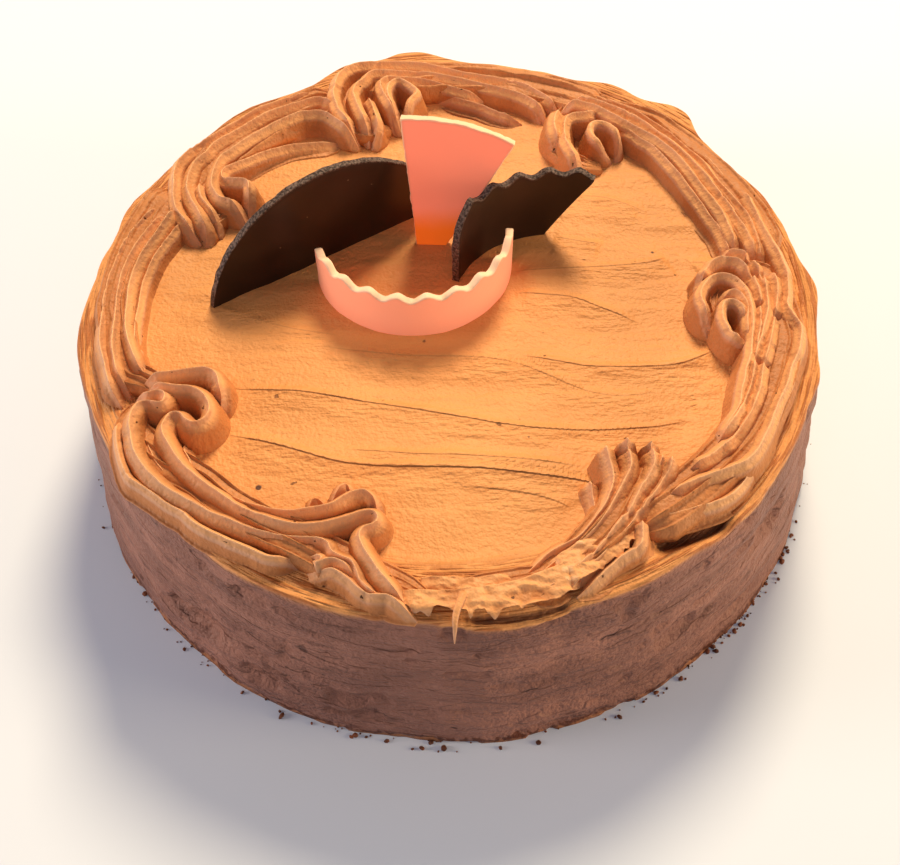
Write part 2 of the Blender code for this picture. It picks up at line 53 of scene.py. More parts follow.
def ripple(places, size, seed=0):  # smooth noise, size is one wave in millimetres along x, y and z
    spots = np.asarray(places, float) / (np.asarray(size, float) * mm)
    cell = np.floor(spots).astype(np.int64)
    share = spots - cell
    share = share * share * (3.0 - 2.0 * share)
    total = 0.0
    for corner in range(8):
        step = np.array((corner & 1, corner >> 1 & 1, corner >> 2))
        weight = np.prod(np.where(step, share, 1.0 - share), axis=-1)
        total = total + weight * cornerValues(*np.moveaxis(cell + step, -1, 0), seed)
    return total


def crumple(places, size, seed=0, octaves=3):
    size = np.asarray(size, float)
    return sum(ripple(places, size / 2 ** n, seed + 7 * n) / 2 ** n for n in range(octaves))


def waves(places, layers):  # each layer: millimetres, size of a wave, seed, octaves
    return sum(height * crumple(places, size, seed, octaves) for height, size, seed, octaves in layers)


def smoothStep(value, start, end):
    share = np.clip((value - start) / (end - start), 0.0, 1.0)
    return share * share * (3.0 - 2.0 * share)


def smoothCurve(points, perSpan=10):  # Catmull-Rom curve through points with any number of values
    points = np.asarray(points, float)
    ends = np.vstack((2 * points[0] - points[1], points, 2 * points[-1] - points[-2]))
    t = np.linspace(0, 1, perSpan, endpoint=False)[:, None]
    spans = []
    for a, b, c, d in zip(ends, ends[1:], ends[2:], ends[3:]):
        spans.append(0.5 * (2 * b + (c - a) * t + (2 * a - 5 * b + 4 * c - d) * t ** 2
                            + (3 * b - a - 3 * c + d) * t ** 3))
    return np.vstack(spans + [points[-1:]])


def evenSteps(curve, step):  # the same curve with stations at even distances in plan
    lengths = np.concatenate(((0.0,), np.cumsum(np.linalg.norm(np.diff(curve[:, :2], axis=0), axis=1))))
    spots = np.linspace(0.0, lengths[-1], max(4, round(lengths[-1] / step)))
    return np.column_stack([np.interp(spots, lengths, column) for column in curve.T]), spots


def softened(values, reach):  # moving average that keeps the ends
    reach = max(int(reach), 1)
    padded = np.concatenate((np.full(reach, values[0]), values, np.full(reach, values[-1])))
    return np.convolve(padded, np.ones(2 * reach + 1) / (2 * reach + 1), mode="valid")


# shader helpers

class Value:  # a shader socket on which sums are written with + - * / and **
    def __init__(self, look, socket):
        self.look = look
        self.socket = socket

    def also(self, output):  # another output of the same node
        return Value(self.look, self.socket.node.outputs[output])

    def math(self, operation, *values):
        return self.look.add("ShaderNodeMath", {"operation": operation}, values)

    def __add__(self, other):
        return self.math("ADD", self, other)

    def __sub__(self, other):
        return self.math("SUBTRACT", self, other)

    def __rsub__(self, other):
        return self.math("SUBTRACT", other, self)

    def __mul__(self, other):
        return self.math("MULTIPLY", self, other)

    def __truediv__(self, other):
        return self.math("DIVIDE", self, other)

    def __pow__(self, other):
        return self.math("POWER", self, other)

    __radd__ = __add__
    __rmul__ = __mul__

    def least(self, other):
        return self.math("MINIMUM", self, other)

    def __abs__(self):
        return self.math("ABSOLUTE", self)

    def ramp(self, start, end):  # 0 at start, 1 at end, soft between
        flipped = start > end
        low, high = (end, start) if flipped else (start, end)
        sockets = {"Value": self, "From Min": low, "From Max": high}
        rise = self.look.add("ShaderNodeMapRange", {"interpolation_type": "SMOOTHSTEP"}, sockets)
        return 1.0 - rise if flipped else rise


class Look:  # a material and the nodes in it
    def __init__(self, name, fixed):  # fixed holds the shader's own values, by socket
        self.material = bpy.data.materials.new(name)
        self.material.use_nodes = True
        self.tree = self.material.node_tree
        self.shader = self.tree.nodes["Principled BSDF"]
        for socket, value in fixed.items():
            self.shader.inputs[socket].default_value = value
        self.place = self.add("ShaderNodeTexCoord", {}, {}, "Object")

    def add(self, kind, settings, inputs, output=0):
        node = self.tree.nodes.new(kind)
        for key, value in settings.items():
            setattr(node, key, value)
        for key, value in (inputs.items() if isinstance(inputs, dict) else enumerate(inputs)):
            if isinstance(value, Value):
                self.tree.links.new(value.socket, node.inputs[key])
            else:
                node.inputs[key].default_value = value
        return Value(self, node.outputs[output])

    def feed(self, socket, value):
        self.tree.links.new(value.socket, self.shader.inputs[socket])

    def noise(self, scale, detail, stretch=None, turn=0.0, place=None, rough=0.55):
        place = place or self.place  # the scale is in waves per metre
        if stretch:
            mapping = {"Vector": place, "Scale": stretch, "Rotation": (0.0, 0.0, turn)}
            place = self.add("ShaderNodeMapping", {}, mapping)
        waves = {"Vector": place, "Scale": scale, "Detail": detail, "Roughness": rough}
        return self.add("ShaderNodeTexNoise", {}, waves)

    def axis(self, name):  # X, Y or Z of the place on the piece, in metres
        return self.add("ShaderNodeSeparateXYZ", {}, {"Vector": self.place}, name)

    def blend(self, share, first, second):
        first, second = (self.full(colour) for colour in (first, second))
        return self.add("ShaderNodeMix", {"data_type": "RGBA"}, {0: share, 6: first, 7: second}, 2)

    def layered(self, colour, *layers):  # colours laid over a first one, each with its share from 0 to 1
        for share, over in layers:
            colour = self.blend(share, colour, over)
        return colour

    def full(self, colour):
        return colour if isinstance(colour, Value) else (*colour, 1.0)

    def stored(self, name):
        return self.add("ShaderNodeAttribute", {"attribute_name": name}, {}, "Fac")

    def bump(self, height):  # height in millimetres
        relief = {"Height": height, "Distance": mm, "Strength": 1.0}
        self.feed("Normal", self.add("ShaderNodeBump", {}, relief))

    def pits(self, scale, share, stretch=(1.0, 1.0, 1.0)):  # small ragged holes in a share of the cells
        waves = {"Vector": self.place, "Scale": scale * 2.5, "Detail": 0.0}
        warp = self.add("ShaderNodeTexNoise", {}, waves, "Color")
        warped = (warp, (0.45 / scale,) * 3, self.place)
        shifted = self.add("ShaderNodeVectorMath", {"operation": "MULTIPLY_ADD"}, warped)
        place = self.add("ShaderNodeMapping", {}, {"Vector": shifted, "Scale": stretch})
        cell = {"Vector": place, "Scale": scale}
        distance = self.add("ShaderNodeTexVoronoi", {}, cell, "Distance")
        lot = self.add("ShaderNodeSeparateColor", {}, {"Color": distance.also("Color")}, "Red")
        size = lot.also("Green") * 0.13 + 0.05
        return (distance / size).ramp(1.15, 0.6) * lot.ramp(share, share * 0.98)


# making pieces

def moveVertices(bm, places):
    for vert, place in zip(bm.verts, places):
        vert.co = place


def placesOf(bm):
    return np.array([vert.co for vert in bm.verts])


def addPiece(name, bm, look, slot, node, values=None):  # values are numbers for each vertex, by name
    bmesh.ops.recalc_face_normals(bm, faces=bm.faces)
    mesh = bpy.data.meshes.new(name)
    bm.to_mesh(mesh)
    bm.free()
    normals = np.empty(3 * len(mesh.vertices), np.float32)
    mesh.vertices.foreach_get("normal", normals)
    for label, numbers in {**(values or {}), "steep": 1.0 - np.abs(normals[2::3])}.items():
        stored = mesh.attributes.new(label, "FLOAT", "POINT")
        stored.data.foreach_set("value", np.asarray(numbers, np.float32))
    mesh.materials.append(look.material)
    mesh.polygons.foreach_set("use_smooth", [True] * len(mesh.polygons))
    piece = bpy.data.objects.new(name, mesh)
    bpy.context.scene.collection.objects.link(piece)
    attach(piece, "root")
    if node:
        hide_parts(node)
    print(f"{name}: {len(mesh.polygons)} faces")
    return piece


def surfaceGrid(bm, columns, rows):  # a grid whose corners are read as column and row numbers
    bmesh.ops.create_grid(bm, x_segments=columns - 1, y_segments=rows - 1, size=1.0)
    flat = placesOf(bm)
    column = np.rint((flat[:, 0] + 1.0) / 2.0 * (columns - 1)).astype(int)
    row = np.rint((flat[:, 1] + 1.0) / 2.0 * (rows - 1)).astype(int)
    return column, row


# frosted cake

cake = {
    "height": 55.0, "topRadius": 104.0, "baseRadius": 112.5, "rimRound": 0.9,
    "gridCells": 226, "rimRings": 4, "sideRings": 46,
    # noise on the top, the rim and the side: millimetres, size of a wave, seed, octaves
    "topWaves": ((0.75, (46, 17, 50), 3, 1), (0.3, (22, 5, 20), 5, 3), (0.07, (7, 1.6, 5), 11, 1)),
    "rimWaves": ((0.45, (60, 3.2, 9), 17, 1), (0.25, (24, 1.5, 9), 19, 1)),
    "sideWaves": ((0.6, (60, 60, 9), 23, 1), (0.42, (26, 26, 3.8), 29, 3), (0.16, (6, 6, 2.4), 31, 3)),
    "chips": (1.1, (11, 11, 4.2), 37, 3),
    # radius of the spread top, where its strokes end, and of the scored rim, where its rounds begin
    "spread": (84.0, 76.0), "scored": (90.0, 96.0),
    # largest pits on top: place and radius
    "pits": ((-54.0, -32.5, 0.7), (-52.0, -32.9, 0.6), (-49.4, -66.3, 0.9), (41.9, -68.0, 0.6),
             (20.0, -52.0, 0.35), (-12.0, -50.0, 0.3), (9.0, -34.0, 0.3), (60.0, 14.0, 0.4),
             (-70.0, 6.0, 0.4)),
    # bulges of the rim: direction and half-width in degrees, millimetres out
    "bulges": ((-170, 20, 2.4), (161, 7, 1.2), (131, 10, 1.5), (109, 8, 4.6), (97, 14, 7.4), (58, 9, 3.6),
               (46, 9, 6.0), (30, 10, -1.2), (0, 8, 2.0), (-18, 9, 1.4), (-45, 14, 1.0)),
    # dents of the side: direction, height, half-width, half-height, depth
    "dents": ((232, 17, 9, 5, 2.4), (243, 12, 6, 3, 1.8), (256, 16, 9, 3, 1.2), (322, 34, 8, 5, 2.0),
              (302, 23, 6, 4, 1.4), (118, 30, 9, 4, 1.5), (20, 22, 8, 4, 1.5)),
    # gaps under the overhanging edges of the piping, sunk and painted dark as shadow: depth, half-width, then
    # points in millimetres
    "gaps": (
        (2.6, 1.3, ((-2, -102.4), (8, -102.8), (16, -102.3), (24, -100.4), (29, -98.0))),
        (3.2, 2.2, ((48, -84.0), (53, -82.6), (59, -81.0), (65, -78.4), (70, -74.8))),
    ),
    # long palette knife strokes on top: step in millimetres, then points in millimetres
    "strokes": (
        (0.75, ((-66, -34), (-50, -36), (-38, -37), (-8, -43), (22, -49), (50, -49), (68, -45))),
        (0.9, ((-62, -49), (-45, -54), (-25, -60), (8, -62), (35, -66), (44, -70))),
        (0.5, ((-30, -55), (-10, -57), (12, -58.5), (38, -62))),
        (0.65, ((18, -24), (30, -27), (42, -29), (63, -28), (76, -21))),
        (0.6, ((18, -1), (27, -2), (35, -3), (45, -8), (54, -13))),
        (0.5, ((17, 7), (30, 8), (57, 10), (64, 12.5))),
        (0.4, ((31, 21.5), (38, 19.5), (46, 17.5))),
        (0.35, ((-20, -82), (0, -84), (20, -86.5))),
        (0.35, ((-40, -20), (-15, -24), (15, -26), (40, -38), (60, -37))),
        (0.3, ((-75, 2), (-60, -8), (-45, -14), (-30, -17))),
        (0.3, ((25, 35), (45, 38), (62, 30))),
        (0.5, ((80.9, 10.9), (79.4, 8.8), (77.6, 7.4), (75.3, 5.9), (73.2, 4.4))),
        (0.45, ((75.6, -29.7), (75.6, -35.6), (74.4, -39.7), (72.9, -42.6), (69.4, -45.6), (65.9, -47.9),
                (61.8, -47))),
        (0.45, ((0, -66.5), (15, -68.3), (24, -70.5), (31, -74))),
    ),
}


# stroke: fade at its ends as a share of its length, reach of the swell before and behind its edge
stroke = {"fade": 0.18, "swell": 1.5, "before": 6.0, "behind": 1.6, "far": 60.0}


def turned(angle, direction):  # degrees from a direction, from -180 to 180
    return (angle - direction + 180.0) % 360.0 - 180.0


def hump(distance, reach):  # 1 in the middle, 0 past the reach
    return (1.0 + np.cos(np.pi * np.minimum(np.abs(distance) / reach, 1.0))) / 2.0


def rimBulge(angle):
    return sum(out * hump(turned(angle, direction), reach) for direction, reach, out in cake["bulges"])


def strokeField(x, y):  # relief of all strokes, distance to the nearest edge, its step, and torn skin behind
    nearest = np.full(len(x), stroke["far"])
    step = np.zeros(len(x))
    relief = np.zeros(len(x))
    wrinkled = np.zeros(len(x))
    for rise, points in cake["strokes"]:
        curve = smoothCurve(points, 6)
        shares = np.linspace(0.0, 1.0, len(curve))
        closest = np.full(len(x), stroke["far"])
        fade = np.zeros(len(x))
        for number, (start, end) in enumerate(zip(curve, curve[1:])):
            along = end - start
            span = np.hypot(*along)
            share = np.clip(((x - start[0]) * along[0] + (y - start[1]) * along[1]) / span ** 2, 0.0, 1.0)
            dx = x - start[0] - share * along[0]
            dy = y - start[1] - share * along[1]
            side = np.where(along[0] * dy - along[1] * dx >= 0.0, 1.0, -1.0)
            distance = np.hypot(dx, dy) * side
            spot = shares[number] + share * (shares[number + 1] - shares[number])
            closer = np.abs(distance) < np.abs(closest)
            closest = np.where(closer, distance, closest)
            inward = smoothStep(spot, 0.0, stroke["fade"]) * smoothStep(1.0 - spot, 0.0, stroke["fade"])
            fade = np.where(closer, inward, fade)
        reach = np.where(closest >= 0.0, -stroke["before"], stroke["behind"])
        relief += stroke["swell"] * rise * fade * np.exp(closest / reach)
        torn = fade * smoothStep(closest, -11.0, -3.0) * smoothStep(closest, 0.5, -1.0)
        wrinkled = np.maximum(wrinkled, torn)
        closer = np.abs(closest) < np.abs(nearest)
        nearest = np.where(closer, closest, nearest)
        step = np.where(closer, rise * fade, step)
    return relief, nearest, step * smoothStep(np.abs(nearest), 1.7, 0.8), wrinkled


def gapField(x, y):  # depth of the gaps, and their share from 0 to 1
    depth = np.zeros(len(x))
    share = np.zeros(len(x))
    for most, reach, points in cake["gaps"]:
        curve = smoothCurve(points, 10)
        away = np.hypot(x[:, None] - curve[None, :, 0], y[:, None] - curve[None, :, 1])
        spot = np.argmin(away, axis=1) / (len(curve) - 1)
        here = np.exp(-(away.min(axis=1) / reach) ** 2) * smoothStep(np.minimum(spot, 1.0 - spot), 0.0, 0.2)
        depth += most * here
        share = np.maximum(share, here)
    return depth, share


def topRelief(x, y, radius):  # millimetres over the flat top
    places = np.column_stack((x, y, np.zeros(len(x)))) * mm
    inside = smoothStep(radius, *cake["spread"])
    strokes, edge, step, wrinkled = strokeField(x, y)
    relief = (waves(places, cake["topWaves"]) + strokes - 0.35) * inside
    angle = np.arctan2(y, x)
    around = np.column_stack((angle * 100.0, radius, np.zeros(len(x)))) * mm
    relief += smoothStep(radius, *cake["scored"]) * (waves(around, cake["rimWaves"]) - 0.25)
    depth, gap = gapField(x, y)
    return relief - depth, edge, step * inside, wrinkled * inside, gap


def sideRelief(angle, height):  # millimetres out from the smooth side
    turn = np.radians(angle)
    ring = np.column_stack((np.cos(turn) * 110.0, np.sin(turn) * 110.0, height)) * mm
    chipDepth, *chipNoise = cake["chips"]
    relief = waves(ring, cake["sideWaves"]) - chipDepth * smoothStep(crumple(ring, *chipNoise), 0.62, 0.9)
    torn = crumple(ring, (7, 7, 4), 41)
    for direction, level, halfWidth, halfHeight, dent in cake["dents"]:
        along = np.radians(turned(angle, direction)) * 110.0
        spread = np.hypot(along / halfWidth, (height - level - 0.1 * along) / halfHeight)
        relief -= dent * smoothStep(spread + 0.55 * torn, 1.25, 0.75)
    return relief


def shapeFrosting(flat):  # places of the vertices, and the numbers that the frosting's look reads
    ring = np.hypot(flat[:, 0], flat[:, 1])
    angle = np.degrees(np.arctan2(flat[:, 1], flat[:, 0]))
    turn = np.radians(angle)
    wave = np.column_stack((np.cos(turn), np.sin(turn), np.zeros(len(turn)))) * 104.0 * mm
    bulge = rimBulge(angle)
    rim = cake["topRadius"] + bulge + 0.5 * crumple(wave, (13, 13, 13), 43)
    corner = cake["rimRound"] * (1.0 + 0.35 * ripple(wave, (17, 17, 17), 47))
    radius = np.minimum(ring, 1.0) * (rim - corner)
    x, y = radius * np.cos(turn), radius * np.sin(turn)
    relief, edge, step, wrinkled, gap = topRelief(x, y, radius)
    steps = np.maximum(ring - 1.0, 0.0) * 100.0  # ring number past the flat top
    bend = np.clip(steps / cake["rimRings"], 0.0, 1.0) * math.pi / 2.0
    down = np.clip((steps - cake["rimRings"]) / cake["sideRings"], 0.0, 1.0)
    onSide = steps > 0.01
    height = cake["height"] + relief * (1.0 - down) ** 6 - corner * (1.0 - np.cos(bend))
    height = np.where(down > 0.0, height * (1.0 - down), height)
    upper = np.clip(height / cake["height"] - 0.35, 0.0, 1.0) / 0.65
    taper = (cake["baseRadius"] - cake["topRadius"]) * (1.0 - np.clip(height / cake["height"], 0.0, 1.0))
    rim += taper - bulge * (1.0 - upper)
    rough = sideRelief(angle, height) * smoothStep(down, 0.0, 0.06)
    radius = np.where(onSide, rim - corner * (1.0 - np.sin(bend)) + rough, radius)
    inner = steps > cake["rimRings"] + cake["sideRings"] + 0.5  # last ring, on the underside
    radius = np.where(inner, radius - 3.0, radius)
    places = np.column_stack((radius * np.cos(turn), radius * np.sin(turn), np.maximum(height, 0.0))) * mm
    values = {"strokeStep": step, "wrinkled": wrinkled, "gap": gap}
    values = {label: np.where(onSide, 0.0, numbers) for label, numbers in values.items()}
    return places, {"strokeEdge": np.clip(edge, -14.0, 14.0), **values, "side": smoothStep(down, 0.0, 0.03)}


def frostingGrid():  # a square patch turned into a disc, with rings drawn out from its edge
    bm = bmesh.new()
    bmesh.ops.create_grid(bm, x_segments=cake["gridCells"], y_segments=cake["gridCells"], size=1.0)
    square = placesOf(bm)
    a, b = square[:, 0], square[:, 1]
    wide = np.abs(a) >= np.abs(b)
    big = np.where(wide, a, b)
    small = np.where(wide, b, a)
    slant = math.pi / 4.0 * small / np.where(np.abs(big) < 1e-9, 1.0, big)
    turn = np.where(wide, slant, math.pi / 2.0 - slant)
    moveVertices(bm, np.column_stack((big * np.cos(turn), big * np.sin(turn), np.zeros(len(a)))))
    edges = [edge for edge in bm.edges if edge.is_boundary]
    for ring in range(1, cake["rimRings"] + cake["sideRings"] + 2):
        drawn = bmesh.ops.extrude_edge_only(bm, edges=edges)["geom"]
        fresh = [item for item in drawn if isinstance(item, bmesh.types.BMVert)]
        for vert in fresh:
            vert.co *= (1.0 + ring * 0.01) / vert.co.length
        edges = [item for item in drawn if isinstance(item, bmesh.types.BMEdge) and item.is_boundary]
    bmesh.ops.contextual_create(bm, geom=edges)
    return bm


frostingColours = {
    # the top colours are partly the frosting's own tone and partly painted light on the lit top
    "top": (0.74, 0.30, 0.090), "topLight": (0.80, 0.335, 0.105), "streak": (0.67, 0.25, 0.07),
    # painted shade among these: the dark line along the strokes' edges, the pits, and the gaps under the
    # piping
    "scored": (0.46, 0.14, 0.035), "strokeShadow": (0.26, 0.085, 0.025), "pit": (0.30, 0.11, 0.035),
    "deepPitShade": (0.09, 0.020, 0.005), "gap": (0.13, 0.035, 0.010),
    # the side colours are partly the frosting's own tone and partly painted shade on the shaded side
    "side": (0.25, 0.105, 0.072), "sideLight": (0.36, 0.155, 0.105), "smear": (0.16, 0.062, 0.042),
    # painted shade among these: the near-black slash colour in the side's small gouges
    "slash": (0.07, 0.024, 0.016), "crumbLine": (0.13, 0.036, 0.016), "foot": (0.40, 0.15, 0.06),
}


def deepPitShades(look, ragged, top):  # the named pits, each painted near-black as shade in its hole
    for x, y, size in cake["pits"]:
        middle = (x * mm, y * mm, cake["height"] * mm)
        away = look.add("ShaderNodeVectorMath", {"operation": "DISTANCE"}, (look.place, middle), "Value")
        hole = (away + ragged * 0.0016).ramp(size * mm + 0.0010, size * mm + 0.0006)
        yield hole * top, frostingColours["deepPitShade"]


def frostingLook():
    look = Look("spread frosting", {"Roughness": 0.55, "IOR": 1.42, "Specular IOR Level": 0.35})
    shades = frostingColours
    side, edge, step = (look.stored(name) for name in ("side", "strokeEdge", "strokeStep"))
    x, y, height = (look.axis(name) for name in "XYZ")
    top = 1.0 - side
    reach = (x * x + y * y) ** 0.5
    ring = look.add("ShaderNodeCombineXYZ", {}, (reach, x * 0.07, y * 0.07))
    rounds = look.noise(760.0, 2.0, place=ring, rough=0.65)  # scored rounds along the rim
    band = reach.ramp(0.086, 0.092) * top
    grain = look.noise(900.0, 1.0)
    ragged = look.noise(300.0, 2.0)
    # top
    cloud = look.noise(26.0, 2.0)
    streak = look.noise(60.0, 3.0, (1.0, 7.0, 1.0), 0.08)
    # painted shadow: a thin dark line along each stroke's edge, where its lip shades the frosting below
    strokeShadow = abs(edge + 0.3).ramp(0.34, 0.06) * (step * 0.9)
    # painted shade in the small pits, which the bump also sinks a little
    pit = (look.pits(300.0, 0.035, (0.5, 1.0, 1.0)) + look.pits(640.0, 0.05, (0.6, 1.0, 1.0)) * 0.45) * top
    litTopColour = look.layered(
        shades["top"],
        (cloud.ramp(0.35, 0.65), shades["topLight"]),
        (streak.ramp(0.45, 0.75) * 0.3, shades["streak"]),
        (rounds.ramp(0.5, 0.57) * band * 0.9, shades["scored"]),
        (strokeShadow.least(0.6), shades["strokeShadow"]),
        (pit.least(1.0), shades["pit"]),
        *deepPitShades(look, ragged, top),
        # painted shadow in the gaps under the piping's overhanging edges
        (look.stored("gap").ramp(0.3, 0.75) * 0.9, shades["gap"]),
    )
    # side
    sideCloud = look.noise(34.0, 3.0, (1.0, 1.0, 2.6))
    smear = look.noise(240.0, 2.0, (0.4, 0.4, 1.6))
    # slash marks, sunk by the bump and painted near-black as shade in the gouges
    slash = look.pits(150.0, 0.08, (0.35, 0.35, 1.5)) + look.pits(420.0, 0.07, (0.5, 0.5, 1.2)) * 0.6
    slash = slash.least(1.0)
    shadedSideColour = look.layered(
        shades["side"],
        (sideCloud.ramp(0.35, 0.68), shades["sideLight"]),
        (smear.ramp(0.55, 0.72) * 0.7, shades["smear"]),
        (slash * 0.8, shades["slash"]),
        ((height + ragged * 0.007).ramp(0.0068, 0.0056) * ragged.ramp(0.4, 0.5), shades["crumbLine"]),
        ((height + ragged * 0.005).ramp(0.0040, 0.0030), shades["foot"]),
    )
    # painted light and shade: the lighter top colour and the darker side colour, each partly the frosting's
    # own tone
    look.feed("Base Color", look.blend(side, litTopColour, shadedSideColour))
    look.feed("Roughness", grain * 0.12 + 0.5)
    # relief in millimetres
    fine = look.noise(330.0, 2.0, (1.0, 2.0, 1.6), 0.06) * 0.3 + grain * 0.34 + look.noise(110.0, 2.0) * 0.3
    wrinkle = look.noise(260.0, 2.0, (0.5, 2.0, 1.0), 0.35) * look.stored("wrinkled")
    blade = edge.ramp(-0.5, 0.05) * edge.ramp(2.5, 0.0) * step
    plates = look.noise(90.0, 3.0, (0.4, 0.4, 1.8)).ramp(0.48, 0.53)
    chipped = look.noise(260.0, 3.0, (0.4, 0.4, 2.0)) * 1.6 + plates * 0.6 + grain * 0.3 - slash
    look.bump(fine + rounds * band * 2.6 + wrinkle + blade * 0.5 - pit * 0.3 + chipped * side)
    return look


def makeFrosting():
    bm = frostingGrid()
    places, values = shapeFrosting(placesOf(bm))
    moveVertices(bm, places)
    return addPiece("frostedCake", bm, frostingLook(), "frosting", "cake_body", values)


# crumbs

crumbs = {
    # spread of crumbs: direction and half-width in degrees, how many
    "spreads": ((-45, 14, 60), (-62, 12, 26), (-118, 40, 50), (-30, 8, 22), (-90, 20, 16), (90, 90, 40),
                (0, 25, 14), (180, 30, 18)),
    "size": (0.3, 1.5), "out": (-0.4, 2.8), "seed": 71,
    "colours": ((0.085, 0.028, 0.016), (0.26, 0.085, 0.04)),
}


def crumbLook():
    look = Look("dark crumbs", {"Roughness": 0.7, "IOR": 1.42, "Specular IOR Level": 0.25})
    shade = look.noise(300.0, 3.0)
    look.feed("Base Color", look.blend(shade.ramp(0.35, 0.65), *crumbs["colours"]))
    look.feed("Roughness", shade * 0.2 + 0.6)
    look.bump(look.noise(1500.0, 3.0) * 0.3)
    return look


def makeCrumbs():
    bm = bmesh.new()
    lot = np.random.default_rng(crumbs["seed"])
    smallest, largest = crumbs["size"]
    closest, furthest = crumbs["out"]
    for direction, halfWidth, count in crumbs["spreads"]:
        for angle in np.radians(direction + lot.triangular(-halfWidth, 0.0, halfWidth, count)):
            size = smallest + (largest - smallest) * lot.random() ** 2.2
            out = closest + (furthest - closest) * lot.random() ** 1.7
            radius = cake["baseRadius"] + out
            made = bmesh.ops.create_icosphere(bm, subdivisions=2, radius=size * 0.6 * mm)["verts"]
            turn = Matrix.Rotation(lot.uniform(0.0, 6.28), 3, "Z")
            stretch = Vector((1.0, lot.uniform(0.6, 1.0), lot.uniform(0.5, 0.8)))
            centre = Vector((radius * math.cos(angle), radius * math.sin(angle), size * 0.28)) * mm
            for vert in made:
                lump = 1.0 + 0.35 * float(crumple(np.array([vert.co + centre * 9.0]), (0.9, 0.9, 0.9), 5)[0])
                vert.co = turn @ (vert.co * stretch * lump) + centre
    return addPiece("looseCrumbs", bm, crumbLook(), "frosting", None)


# piped scrolls

piping = {
    "runHeight": 6.4, "endHeight": 2.4, "step": 0.6, "across": 44, "sink": 1.0,
    "ridges": (-0.80, -0.27, 0.27, 0.80), "ridgeHeights": (0.86, 1.0, 1.0, 0.9),
    "ridgeReach": 0.46, "ridgePower": 1.2, "floor": 0.80, "endTaper": 6.0, "seed": 200,
    # colours: the hollow and wall colours are painted shade, low in the troughs and on steep faces, the crest
    # colour a painted highlight and the pit colour painted shade in the pits; flank and cloud are the
    # frosting's own tones
    "colours": {"hollow": (0.52, 0.19, 0.06), "flank": (0.80, 0.37, 0.145), "cloud": (0.70, 0.30, 0.11),
                "wall": (0.58, 0.31, 0.20), "crest": (0.88, 0.47, 0.23), "pit": (0.16, 0.05, 0.015)},
}

# each scroll's low bed: its run along the rim (directions in degrees, two distances from the middle,
# half-width) and the points of its head and loose tail (x, y, half-width), in millimetres
scrolls = {
    "scroll_left": {
        "run": (155, 192, 94, 94.5, 6.6), "height": 4.6,
        "head": ((-88.5, -29, 5.4), (-83, -33.5, 4.0), (-75, -36.5, 3.2), (-67, -37, 3.0), (-63, -38.5, 2.4)),
    },
    "scroll_upper_left": {
        "run": (114, 150, 89.5, 89, 8.2), "height": 4.6,
        "head": ((-79.5, 36, 6.0), (-77, 27, 4.8), (-72, 27, 4.0), (-66, 31, 3.0)),
    },
    "scroll_top": {
        "run": (56, 103, 90, 91, 8.2), "height": 4.6,
        "head": ((-31.5, 88, 6.0), (-33, 78, 5.0), (-31, 69, 4.4), (-25, 66, 4.0), (-19, 69, 3.0)),
    },
    "scroll_upper_right": {
        "run": (6, 52, 92, 90.5, 8.2), "height": 4.6,
        "head": ((45.5, 76, 6.8), (37, 72, 5.0), (34.5, 63.5, 4.4), (35.5, 55, 4.0), (41, 49, 3.4),
                 (48, 49, 3.0)),
    },
    "scroll_right": {
        "run": (-60, -8, 92, 94, 7.0), "height": 4.6,
        "head": ((90, -1, 6.4), (84, 2, 4.8), (77, -2, 3.8), (74.0, -9, 3.2), (74.5, -16, 2.4)),
    },
    "scroll_front_right": {
        "run": (271, 289, 95.5, 94.5, 3.4), "runHeight": 2.0, "height": 6.0,
        "head": ((37, -81, 6.0), (43.5, -71, 6.8), (47, -63, 7.8), (48, -60, 7.6)),
    },
    "scroll_front_left": {
        "run": (246, 221, 92.0, 92.5, 5.4), "height": 4.6,
        "head": ((-81, -54.5, 6.0), (-83.5, -46.5, 4.4), (-77.5, -42.5, 3.0), (-68, -43, 2.6)),
        "tail": ((-5.5, -98.5, 2.6), (-13, -94.5, 3.6), (-23, -90.5, 5.4)),
    },
}

